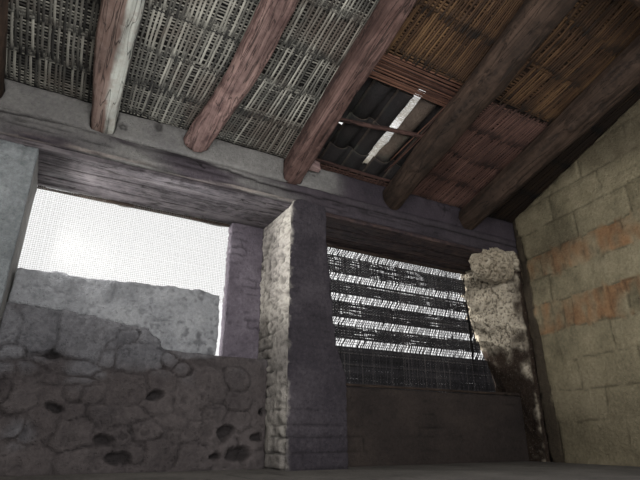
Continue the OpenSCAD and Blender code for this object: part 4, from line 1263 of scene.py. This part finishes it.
# The other ground of this mud is the painted highlight on the lintels' lit foot.
earth_head = earth_finish("blotched_mud", "504e4f", "686664", "817f7c", "1a1718", warm=("2a262b", "443d43"),
                          other=("6d6462", "a2988f"), straw=0.05)
earth_floor = earth_finish("dusty_screed", "3a3835", "54504c", "6c6863", "211e1b", straw=0.1)

brown_log = wood_finish("brown_log", "17110d", "33271f", "4b3b31", turn=SLOPE_TURN)
reddish_log = wood_finish("reddish_log", "231817", "47342f", "6d5650", turn=SLOPE_TURN)
rosy_log = wood_finish("rosy_log", "2c2020", "5c4743", "8b736c", turn=SLOPE_TURN, bleached=0.5)
# The second rafter's right half is painted pale as its lit side.
log_with_painted_light = wood_finish("log_with_painted_light", "352824", "624f48", "7c6c64", turn=SLOPE_TURN, painted_light_and_wear=("7c7d77", "abaca4"))
ridge_log = wood_finish("ridge_log", "1d1510", "403128", "644f42", along=0)
hewn_wood = wood_finish("hewn_lintel", "2c282b", "4c474a", "706a6c", along=0, bleached=0.4)
dark_hewn = wood_finish("dark_lintel", "191416", "2f272a", "55443e", along=0, bleached=0.3)
pole_wood = wood_finish("peeled_pole", "1d1714", "302722", "493d34", along=0)
split_block = wood_finish("split_block", "5d4a4a", "8d7673", "b09a95", along=0, bleached=0.5)
batten_wood = wood_finish("reddish_batten", "1a1110", "3a2926", "564039", along=0)

cane_grey = cane_finish("grey_cane", "252422", "5b5953", "9c998f", SLOPE_TURN, blush="544941")
cane_dun = cane_finish("dun_cane", "26211d", "554d45", "857d72", SLOPE_TURN, blush="4d3f37")
cane_brown = cane_finish("brown_cane", "1b110b", "46311f", "6d5338", SLOPE_TURN, blush="3d2b1e", own=0.2)
cane_rosy = cane_finish("rosy_cane", "2c1d19", "553e37", "785a50", SLOPE_TURN, blush="4a332b", own=0.15)
cane_red = cane_finish("reddish_cane", "1e120d", "422c24", "68493a", along=0)
# The blind's canes are written dark as they look against the light: painted shade.
cane_blind = cane_finish("blind_cane_painted_shade", "131214", "29272a", "4b4746", along=2)
dry_straw = cane_finish("dry_straw", "a39b88", "c4bcab", "e0d9ca")
# Near-black finishes of the sheet of painted shade above the canes.
shade_black = earth_finish("painted_shade_black", "0b0a0a", "131110", "221d19", "090807", straw=0.05)
shade_brown = earth_finish("painted_shade_brown", "120c08", "1d140e", "2e2118", "0b0806", straw=0.05)

clay = earth_finish("weathered_clay", "35302e", "564a42", "776b5e", "17171a", stain="5f5f55", straw=0.0)
galvanised = Finish("galvanised_wire", 0.45, 0.5)
galvanised.shader.inputs["Metallic"].default_value = 0.8
galvanised.colour(galvanised.ramp(galvanised.noise(60.0), [(0.3, "6e6c68"), (0.7, "b4b2ad")]))


# Pieces

def masonry():
    weathered("rubble_wall", 0.0115, rubble_relief, stone_grey, "rubble", 0.6, 0.3)
    weathered("rendered_sill_wall", 0.0105, render_relief, render_pale, "lime_render", 0.6)
    weathered("left_pier", 0.02, plaster_relief, adobe_ash, "pier_adobe", 0.4)
    weathered("centre_pier", 0.0095, pier_relief, adobe_mud, "pier_adobe", 0.6)
    weathered("brick_nib", 0.011, nib_relief, adobe_nib, "pier_adobe", 0.6)
    weathered("right_jamb", 0.009, jamb_relief, adobe_jamb, "jamb_adobe", 0.7, 0.75)
    jamb_lump()
    weathered("low_wall", 0.018, plaster_relief, adobe_low, "pier_adobe", 0.4)
    weathered("wall_head", 0.013, head_relief, earth_head, "head_earth", 0.5)
    weathered("rafter_fill", 0.016, fill_relief, earth_head, "head_earth", 0.4)
    weathered("floor_screed", 0.03, floor_relief, earth_floor, "floor_earth", 0.3)
    weathered("left_end_wall", 0.024, end_wall_relief, adobe_olive, "end_adobe", 0.35)
    weathered("right_end_wall", 0.016, end_wall_relief, adobe_olive, "end_adobe", 0.4)


# Knots of the two thick logs: x, then u and n in the slope, and reach
KNOTS_5 = ((0.70, 0.42, -0.16, 0.05), (0.63, 1.02, -0.20, 0.06), (0.71, 1.62, -0.2, 0.05))
KNOTS_6 = ((1.72, 0.62, -0.2, 0.06), (1.66, 1.32, -0.22, 0.05))


def timbers():
    weathered("lintels_left", 0.011, timber_relief(201), hewn_wood, "pole_wood", 0.45)
    weathered("lintels_right", 0.011, timber_relief(211), dark_hewn, "pole_wood", 0.45)
    weathered("rafter_1", 0.013, log_relief(221), brown_log, "brown_log", 0.5)
    weathered("rafter_2", 0.012, log_relief(231, squared=True, painted_light_half=2), log_with_painted_light, "grey_log", 0.55)
    weathered("rafter_3", 0.011, log_relief(241, rough=1.2), rosy_log, "grey_log", 0.6)
    weathered("rafter_4", 0.011, log_relief(251, squared=True), reddish_log, "brown_log", 0.6)
    weathered("rafter_5", 0.012, log_relief(261, KNOTS_5, rough=1.2), brown_log, "brown_log", 0.6)
    weathered("rafter_6", 0.013, log_relief(271, KNOTS_6, rough=1.2), brown_log, "brown_log", 0.6)
    weathered("ridge_beam", 0.02, timber_relief(281), ridge_log, "brown_log", 0.5)


# The stretch up the slope over the wall's thickness, where no canes show, and the sixth mat's seam
U_OVER_WALL = (-0.6, -0.03)
SEAM_6 = (1.165, 1.195)


def mats(strands):
    foot = slope_of(points_of(merged_copy("cane_mat_1")))[0].min() + MAT_INSET
    whole = [(foot, U_OVER_WALL[0]), (U_OVER_WALL[1], U_TOP)]
    cane_mat("mat_bay_1", 1, whole, strands, [cane_dun] * 2, shade_black, "cane_mat_1")
    cane_mat("mat_bay_2", 2, whole, strands, [cane_grey] * 2, shade_black, "cane_mat_2")
    cane_mat("mat_bay_3", 3, whole, strands, [cane_grey] * 2, shade_black, "cane_mat_3")
    cane_mat("mat_bay_4", 4, whole, strands, [cane_grey] * 2, shade_black, "cane_mat_4")
    low_edge = float(slope_of(points_of(merged_copy("cane_mat_5_lower")))[0].max())
    high_edge = float(slope_of(points_of(merged_copy("cane_mat_5_upper")))[0].min())
    cane_mat("mat_bay_5_foot", 5, [(foot, low_edge)], strands, [cane_rosy], shade_brown,
             "cane_mat_5_lower")
    cane_mat("mat_bay_5_head", 5, [(high_edge, U_TOP)], strands, [cane_brown], shade_brown,
             "cane_mat_5_upper")
    cane_mat("mat_bay_6", 6, [whole[0], (U_OVER_WALL[1], SEAM_6[0]), (SEAM_6[1], U_TOP)], strands,
             [cane_rosy, cane_rosy, cane_brown], shade_brown, "cane_mat_6")
    cane_mat("mat_bay_7", 7, whole, strands, [cane_brown] * 2, shade_black, "cane_mat_7")


# Tiles

TILE_LENGTH = 0.42
TILE_COURSE = 0.33
ROW_COUNT = 24
# From the roof's edge to the middle of the first row of covers
EDGE_TILE = 0.084
ROW_PITCH = (cad_high[0] - cad_low[0] - 2 * EDGE_TILE) / ROW_COUNT
COVER_X = cad_low[0] + EDGE_TILE
CHANNEL_N = 0.1253
COVER_N = 0.0486
# The row that its covers have slipped off, and where; and the short gaps in the row two to its left
BARE_ROW = 14
BARE_FOOT = 0.145
BARE_TOP = 0.98
CHINK_ROW = 12
CHINKS = ((0.425, 0.455), (0.93, 0.96))
# Broken edges of the channels beside the bare row: places up the slope, and there how far the left and
# the right channel stop from the middle of the row
BREAK_U = (0.29, 0.33, 0.42, 0.54, 0.562, 0.585, 0.64, 0.76, 0.90, 0.955)
BREAK_LEFT = (0.024, 0.05, 0.068, 0.060, 0.032, 0.050, 0.051, 0.055, 0.066, 0.024)
BREAK_RIGHT = (0.010, 0.035, 0.058, 0.045, 0.028, 0.045, 0.040, 0.036, 0.030, 0.010)


def tile_stretch(tiles, cover, first, rows, u0, u1, seed, steps=3):
    """Rows of tiles that fill a stretch up the slope."""
    courses = max(2, round((u1 - u0 - TILE_LENGTH) / TILE_COURSE) + 1)
    step = (u1 - u0 - TILE_LENGTH) / (courses - 1)
    sizes = dict(Low_Radius=0.080, High_Radius=0.063, Open=4.0, Rise=1.0)
    if not cover:
        sizes = dict(Low_Radius=0.087, High_Radius=0.105, Open=30.0, Rise=-1.0)
    mesh = tiles.made("tiles", Rows=rows, Row_Pitch=ROW_PITCH, Courses=courses, Course=step,
                      Length=TILE_LENGTH, Thickness=0.013, Skew=0.012, Slip=0.006, Steps=steps, Seed=seed,
                      Finish=clay, **sizes)
    x, u, n = points_of(mesh).T
    start = COVER_X + first * ROW_PITCH + (0 if cover else ROW_PITCH / 2)
    set_points(mesh, within_box(on_slope(x + start, u + u0, n + (COVER_N if cover else CHANNEL_N))))
    return outward(mesh)


def broken_channel(mesh, side, limits):
    """A row of channels whose edge beside the bare row is broken back; side is -1 left of it, 1 right."""
    at = points_of(mesh)
    u, _ = slope_of(at)
    middle = COVER_X + BARE_ROW * ROW_PITCH
    limit = np.interp(u, BREAK_U, limits) + lump_noise(at, 0.05, 2, 351) * 0.006
    inside = (u > BREAK_U[0]) & (u < BREAK_U[-1])
    away = (at[:, 0] - middle) * side
    at[:, 0] = np.where(inside & (away < limit), middle + side * limit, at[:, 0])
    set_points(mesh, at)
    return worked(mesh, lambda work: bmesh.ops.dissolve_degenerate(work, edges=work.edges, dist=1e-5))


def roof_tiles():
    tiles = tile_pattern()
    beside = [
        broken_channel(tile_stretch(tiles, False, BARE_ROW - 1, 1, U_EAVE, U_TILES, 303, 15), -1, BREAK_LEFT),
        broken_channel(tile_stretch(tiles, False, BARE_ROW, 1, U_EAVE, U_TILES, 305, 15), 1, BREAK_RIGHT),
    ]
    channels = joined("channels", beside + [
        tile_stretch(tiles, False, 0, BARE_ROW - 1, U_EAVE, U_TILES, 301),
        tile_stretch(tiles, False, BARE_ROW + 1, ROW_COUNT - BARE_ROW - 1, U_EAVE, U_TILES, 307),
    ])
    covers = [
        tile_stretch(tiles, True, 0, CHINK_ROW, U_EAVE, U_TILES, 311),
        tile_stretch(tiles, True, CHINK_ROW, 1, U_EAVE, CHINKS[0][0], 313),
        tile_stretch(tiles, True, CHINK_ROW, 1, CHINKS[0][1], CHINKS[1][0], 315),
        tile_stretch(tiles, True, CHINK_ROW, 1, CHINKS[1][1], U_TILES, 317),
        tile_stretch(tiles, True, CHINK_ROW + 1, 1, U_EAVE, U_TILES, 319),
        tile_stretch(tiles, True, BARE_ROW, 1, U_EAVE, BARE_FOOT, 321),
        tile_stretch(tiles, True, BARE_ROW, 1, BARE_TOP, U_TILES, 331),
        tile_stretch(tiles, True, BARE_ROW + 1, ROW_COUNT - BARE_ROW, U_EAVE, U_TILES, 341),
    ]
    for name, mesh, node in (("channel_tiles", channels, "tile_channels"),
                             ("cover_tiles", joined("covers", covers), "tile_covers")):
        smooth(mesh)
        at = points_of(mesh)
        # Painted shade: the tiles' undersides are darkened through the joint mark, less where light comes in
        # by the bare row.
        under = ease(-(normals_of(mesh) @ np.array(OFF_SLOPE)), -0.3, 0.2)
        u, _ = slope_of(at)
        painted_lit = 1 - ease(np.abs(at[:, 0] - (COVER_X + (BARE_ROW + 0.35) * ROW_PITCH)), 0.03, 0.16)
        painted_lit *= ease(u, 0.2, 0.35) * (1 - ease(u, 0.85, 1.0))
        set_marks(mesh, joint=under * 0.9 * (1 - 0.85 * painted_lit))
        dress(name, mesh, clay, "roof_tile", node)


# Whole canes, straw and small timbers

def cane(name, start, end, radius, tone, seed, bend=0.003):
    """A whole cane with its nodes, thinner towards one end."""
    start, end = np.asarray(start, float), np.asarray(end, float)
    length = np.linalg.norm(end - start)
    joints = max(2, round(length / 0.17))
    shares = []
    swell = []
    for k in range(joints + 1):
        share = k / joints
        shares += [share - 0.006, share, share + 0.006]
        swell += [0.94, 1.16, 0.94]
    shares = np.clip(shares, 0, 1)
    keep = np.r_[True, np.diff(shares) > 1e-4]
    shares, swell = shares[keep], np.array(swell)[keep]
    route = start + np.outer(shares, end - start)
    sway = rng_of(seed).normal(0, bend, 3)
    route += np.outer(np.sin(shares * math.pi), sway)
    return tube(name, route, radius * swell * (1 - 0.15 * shares), 8, tone)


CROSS_CANES = 15
# From the edge of the canes' solid to the middle of the first and last cane
CROSS_INSET = 0.008


def hole_canes():
    """The canes left lying across the hole, packed close."""
    places = slope_of(points_of(merged_copy("cross_canes")))[0]
    low, high = places.min(), places.max()
    parts = []
    random = rng_of(401)
    pitch = (high - low - 2 * CROSS_INSET) / (CROSS_CANES - 1)
    for k in range(CROSS_CANES):
        u = low + CROSS_INSET + k * pitch + random.uniform(-0.002, 0.002)
        left = float(log_middle(4, np.array([u]))[0])
        right = float(log_middle(5, np.array([u]))[0])
        skew = random.normal(0, 0.004)
        ends = on_slope(np.array((left, right)), np.array((u - skew, u + skew)), 0.0085)
        radius = random.uniform(0.0068, 0.0084)
        tone = random.uniform(0.2, 0.9)
        parts.append(cane("cane", ends[0], ends[1], radius, tone, 410 + k))
    dress("crossing_canes", joined("crossing_canes", parts), cane_red, "split_cane", "cross_canes")


# The canes that hang loose: x at their upper and lower end, then n at the upper end and where they sag most
LOOSE_CANES = ((0.684, 0.629, 0.004, -0.012), (0.697, 0.654, -0.004, -0.02), (0.669, 0.614, 0.0, -0.004))
LOOSE_RADIUS = 0.005


def loose_canes():
    """Long canes that hang on beside the fifth rafter."""
    parts = []
    for k, (x0, x1, n0, n1) in enumerate(LOOSE_CANES):
        u = np.linspace(1.08 - 0.05 * k, 0.16 + 0.07 * k, 12)
        share = np.linspace(0, 1, 12)
        x = x0 + (x1 - x0) * share + 0.012 * np.sin(share * 3.0 + k)
        n = n0 + (n1 - n0) * np.sin(share * math.pi * 0.8)
        parts.append(tube("cane", on_slope(x, u, n), LOOSE_RADIUS, 6, 0.3 + 0.2 * k))
    dress("loose_canes", joined("loose_canes", parts), cane_red, "split_cane")


# Straw caught in the gap of the bare row: places up the slope, and there the share of it that stays open
STRAW_U = (0.13, 0.42, 0.55, 0.62, 0.69, 0.88, 0.955)
STRAW_OPEN = (0.05, 0.3, 0.8, 0.8, 0.4, 0.45, 0.95)
STRAW_TRIES = 1300
STRAW_N = 0.078


def gap_straw():
    """Straw and leaf stalks caught across the gap where the covers are gone."""
    random = rng_of(511)
    middle = COVER_X + BARE_ROW * ROW_PITCH
    parts = []
    for _ in range(STRAW_TRIES):
        u = random.uniform(STRAW_U[0], STRAW_U[-1])
        aside = random.uniform(-0.02, 0.02)
        turn = random.normal(0, 0.4)
        half = random.uniform(0.06, 0.085)
        radius = random.uniform(0.0005, 0.0008)
        if random.random() > np.interp(u, STRAW_U, STRAW_OPEN):
            reach = np.array((-half, 0, half))
            route = on_slope(middle + aside + reach * math.cos(turn), u + reach * math.sin(turn),
                             STRAW_N + np.array((0.002, -0.003, 0.002)))
            parts.append(tube("straw", route, radius, 3, random.uniform(0.2, 0.9)))
    dress("gap_straw", joined("gap_straw", parts), dry_straw, "split_cane")


# The split block nailed to the fourth rafter's side, under the flat batten: length, depth and height
CLEAT = (0.14, 0.07, 0.088)


def cleat():
    """A split block under the flat batten's end, against the rafter's side."""
    u0 = 0.006
    left = float(log_middle(4, np.array([u0]))[0] + np.interp(u0, *LINES[3][::2])) - 0.004
    mesh = worked(
        bpy.data.meshes.new("cleat"), lambda work: bmesh.ops.create_cube(work, size=1.0),
        lambda work: bmesh.ops.subdivide_edges(work, edges=work.edges, cuts=9, use_grid_fill=True))
    at = points_of(mesh) + 0.5
    x, u, n = (at * np.array(CLEAT)).T
    u = u * (1 - 0.35 * at[:, 0]) + u0
    spot = on_slope(x + left, u, n - CLEAT[2] - 0.0005)
    rough = lump_noise(spot, 0.03, 3, 491) * 0.004
    inner = (at[:, 0] > 0.01) * (at[:, 2] < 0.99)
    spot[:, 2] += rough * inner
    spot[:, 1] += lump_noise(spot, 0.05, 2, 492) * 0.005 * inner
    set_points(mesh, spot)
    set_marks(mesh, tone=0.5 + lump_noise(spot, 0.04, 2, 493) * 0.5)
    smooth(mesh)
    dress("rafter_cleat", outward(mesh), split_block, "pole_wood")


def battens():
    for node, seed in (("round_batten", 441), ("flat_batten", 451)):
        weathered(node, 0.007, timber_relief(seed), batten_wood, "pole_wood", 0.6)
    for node, seed in (("sill_pole", 461), ("blind_rail", 471), ("nail_strip", 481)):
        weathered(node, 0.008, timber_relief(seed), pole_wood, "pole_wood", 0.5)


# Screens

def stand_up(mesh, x0, y, z0, across):
    """Turns strands made flat into an upright sheet: across tells that they run along the wall."""
    at = points_of(mesh)
    x, z, y_off = (at[:, 1], at[:, 0], at[:, 2]) if across else at.T
    set_points(mesh, np.stack((x + x0, y_off + y, z + z0), 1))
    return mesh


WIRE_PITCH = 0.0145
WIRE = 0.0013


def mesh_screen(strands):
    """Wire netting nailed over the left window."""
    low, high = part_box("mesh_screen")
    width, height = high.x - low.x, high.z - low.z
    sheets = []
    for across, reach, length in ((False, width, height), (True, height, width)):
        count = round(reach / WIRE_PITCH) + 1
        pitch = (reach - WIRE) / (count - 1)
        mesh = strands.made("wires", Count=count, Pitch=pitch, Length=length, Step=0.12,
                            Width=WIRE, Thickness=WIRE, Sway=0.0, Period=1.0, Jitter=0.0012, Ragged=0.0,
                            Wander=0.008, Missing=0.0, Seed=501 + across, Finish=galvanised.material)
        sheets.append(outward(stand_up(mesh, low.x, low.y + 0.0008 + across * 0.0009, low.z, across)))
    dress("wire_netting", joined("wire_netting", sheets), galvanised.material, "wire", "mesh_screen")


BLIND_LOW, BLIND_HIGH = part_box("cane_blind")
# Centres of the open bands, as shares of the blind's height, and their height
OPEN_BANDS = (0.315, 0.458, 0.626, 0.773, 0.956)
OPEN_HEIGHT = 0.07
CANE_PITCH = 0.0175
CANE_WIDTH = 0.0085
CANE_LEAN = 0.012
LACE_PITCH = 0.0128
THIN_LACE = 0.0045
# Height of the chinks where the lacing has come apart
CHINK = 0.0065


def band_centres():
    """Heights of the middles of the blind's open bands."""
    return [BLIND_LOW.z + share * (BLIND_HIGH.z - BLIND_LOW.z) for share in OPEN_BANDS]


def blind_edges():
    """Heights, and there the x of both cut edges of the blind."""
    mesh = merged_copy("cane_blind")
    heights = np.linspace(BLIND_LOW.z + 0.002, BLIND_HIGH.z - 0.002, 40)
    left, right = spread_at(mesh, points_of(mesh)[:, 2], heights)
    return heights, np.minimum.accumulate(left), np.minimum.accumulate(right)


def trimmed(mesh, edges):
    """Strands drawn back to the blind's cut edges, without faces of no size."""
    heights, left, right = edges
    at = points_of(mesh)
    at[:, 0] = np.clip(at[:, 0], np.interp(at[:, 2], heights, left), np.interp(at[:, 2], heights, right))
    set_points(mesh, at)
    return worked(mesh, lambda work: bmesh.ops.remove_doubles(work, verts=work.verts, dist=2e-6),
                  lambda work: bmesh.ops.dissolve_degenerate(work, edges=work.edges, dist=2e-6))


def upright_canes(strands, y, edges):
    """The blind's upright canes, each cut off at the edge that it meets."""
    heights, left, right = edges
    width = BLIND_HIGH.x - BLIND_LOW.x
    count = round(width / CANE_PITCH)
    mesh = strands.made("uprights", Count=count, Pitch=CANE_PITCH, Length=1.0, Step=0.02, Width=CANE_WIDTH,
                        Thickness=0.0032, Sway=0.0, Period=1.0, Jitter=0.006, Ragged=0.0, Wander=0.03,
                        Missing=0.04, Seed=521, Finish=cane_blind)
    stand_up(mesh, BLIND_LOW.x + CANE_PITCH / 2, y, 0.0, False)
    at = points_of(mesh)
    top = np.interp(at[:, 0], right[::-1], heights[::-1], left=heights[-1], right=heights[0])
    foot = np.interp(at[:, 0], left[::-1], heights[::-1], left=heights[-1], right=heights[0])
    at[:, 2] = foot + np.clip(at[:, 2], 0, 1) * np.maximum(top - foot, 0.01)
    for centre in band_centres():
        across = np.clip((at[:, 2] - centre) / OPEN_HEIGHT, -1, 1)
        own = 1 + hashed(np.round(at[:, 0] / CANE_PITCH), seed=571)
        at[:, 0] += CANE_LEAN * np.sin(across * math.pi) * own
    set_points(mesh, at)
    return outward(trimmed(mesh, edges))


def opened(mesh, pitch, foot, count):
    """Draws the strips apart in short chinks along some rows."""
    at = points_of(mesh)
    shift = np.zeros(len(at))
    for k in range(1, count):
        height = foot + k * pitch
        off = at[:, 2] - height
        spot = np.stack((at[:, 0], at[:, 0] * 0, at[:, 0] * 0 + height * 7), 1)
        share = hashed(np.array([k]), seed=round(height * 100))[0]
        loose = lump_noise(spot, (0.11, 1, 1), 3, 561)
        chink = CHINK / 2 * ease(loose, 0.45 - 0.6 * share, 0.5 - 0.5 * share)
        shift += np.where(np.abs(off) < pitch * 0.6, np.sign(off) * chink, 0)
    at[:, 2] += shift
    set_points(mesh, at)
    return mesh


def laced_rows(strands, y, edges):
    """The close rows of strips, woven round the uprights, with the open bands left out."""
    width = BLIND_HIGH.x - BLIND_LOW.x
    centres = band_centres()
    feet = [BLIND_LOW.z] + [z + OPEN_HEIGHT / 2 for z in centres]
    heads = [z - OPEN_HEIGHT / 2 for z in centres] + [BLIND_HIGH.z]
    # A whole number of steps, so that each strip crosses from front to back at every one
    weave = width / round(width / CANE_PITCH)
    parts = []
    for k, (foot, head) in enumerate(zip(feet, heads)):
        count = max(1, round((head - foot) / LACE_PITCH))
        pitch = (head - foot) / count
        mesh = strands.made("laces", Count=count, Pitch=pitch, Length=width, Step=weave,
                            Width=pitch * (0.98 if k else 1.05), Thickness=0.0014, Sway=0.0026, Period=weave,
                            Jitter=0.0004, Ragged=0.0, Wander=0.003, Missing=0.0, Seed=541 + k,
                            Finish=cane_blind)
        stand_up(mesh, BLIND_LOW.x, y, foot + pitch / 2, True)
        parts.append(trimmed(opened(mesh, pitch, foot, count) if k else mesh, edges))
    for k, centre in enumerate(centres):
        number = 3 if k == len(centres) - 1 else 2
        pitch = OPEN_HEIGHT / (number + 1)
        mesh = strands.made("thin laces", Count=number, Pitch=pitch, Length=width, Step=CANE_PITCH,
                            Width=THIN_LACE, Thickness=0.0014, Sway=0.0026, Period=CANE_PITCH, Jitter=0.002,
                            Ragged=0.0, Wander=0.01, Missing=0.0, Seed=581 + k, Finish=cane_blind)
        stand_up(mesh, BLIND_LOW.x, y, centre - OPEN_HEIGHT / 2 + pitch, True)
        parts.append(trimmed(mesh, edges))
    return outward(joined("laces", parts))


def hanging_blind(strands):
    y = (BLIND_LOW.y + BLIND_HIGH.y) / 2
    edges = blind_edges()
    mesh = joined("woven_blind", [upright_canes(strands, y, edges), laced_rows(strands, y, edges)])
    dress("woven_blind", mesh, cane_blind, "split_cane", "cane_blind")


DAYLIGHT = (1.0, 0.99, 0.97)


def lamps():
    def area(name, at, towards, size, watts, tint):
        lamp = bpy.data.lights.new(name, "AREA")
        lamp.shape = "DISK"
        lamp.size = size
        lamp.energy = watts
        lamp.color = tint
        holder = bpy.data.objects.new(name, lamp)
        holder.location = at
        holder.rotation_euler = (Vector(towards) - Vector(at)).to_track_quat("-Z", "Y").to_euler()
        holder.visible_camera = False
        bpy.context.scene.collection.objects.link(holder)

    area("window_light", (-3.0, Y_OUT + 2.4, 1.9), (X_PIER, Y_IN, 1.5), 2.6, 300, DAYLIGHT)
    area("reveal_light", (X_BAY + 0.14, Y_IN + 0.3, 1.6), (X_PIER, Y_IN + 0.12, 1.45), 0.3, 9, DAYLIGHT)
    area("blind_light", (0.4, Y_OUT + 1.2, 1.9), (2.3, Y_OUT - 0.35, 1.4), 1.0, 120, DAYLIGHT)
    area("room_light", (-1.6, -3.4, 1.2), (0.3, 0.6, 1.8), 2.6, 150, DAYLIGHT)
    area("window_glow", (-1.3, Y_IN - 0.12, 1.45), (-0.4, -1.2, 2.6), 0.5, 12, (0.97, 0.99, 1.0))


def sky():
    world = bpy.data.worlds.new("sky")
    bpy.context.scene.world = world
    world.use_nodes = True
    wiring = Wiring(world.node_tree)
    ground = wiring.nodes["Background"]
    ground.inputs["Color"].default_value = (0.86, 0.89, 0.93, 1)
    ground.inputs["Strength"].default_value = 0.8
    seen = wiring.step("ShaderNodeBackground", {"Color": (1, 1, 1, 1), "Strength": 1.0})
    path = wiring.nodes.new("ShaderNodeLightPath").outputs
    direct = wiring.math("MAXIMUM", path["Is Camera Ray"], path["Is Glossy Ray"])
    direct = wiring.math("MAXIMUM", direct, path["Is Transmission Ray"])
    mixed = wiring.step("ShaderNodeMixShader", {0: direct, 1: ground.outputs[0], 2: seen})
    wiring.links.new(mixed, wiring.nodes["World Output"].inputs[0])


def floor():
    half = 30.0
    corners = [(-half, -half, 0), (half, -half, 0), (half, half, 0), (-half, half, 0)]
    mesh = bpy.data.meshes.new("floor")
    mesh.from_pydata(corners, [], [(0, 1, 2, 3)])
    matt = Finish("pale_floor", 0.9, 0.1)
    matt.shader.inputs["Base Color"].default_value = (0.82, 0.82, 0.81, 1)
    mesh.materials.append(matt.material)
    new_piece("stage_floor", mesh)


add_camera()
masonry()
timbers()
strands = strand_pattern()
mats(strands)
roof_tiles()
hole_canes()
loose_canes()
gap_straw()
cleat()
battens()
mesh_screen(strands)
hanging_blind(strands)
lamps()
sky()
floor()

bpy.context.scene.view_settings.view_transform = "Standard"
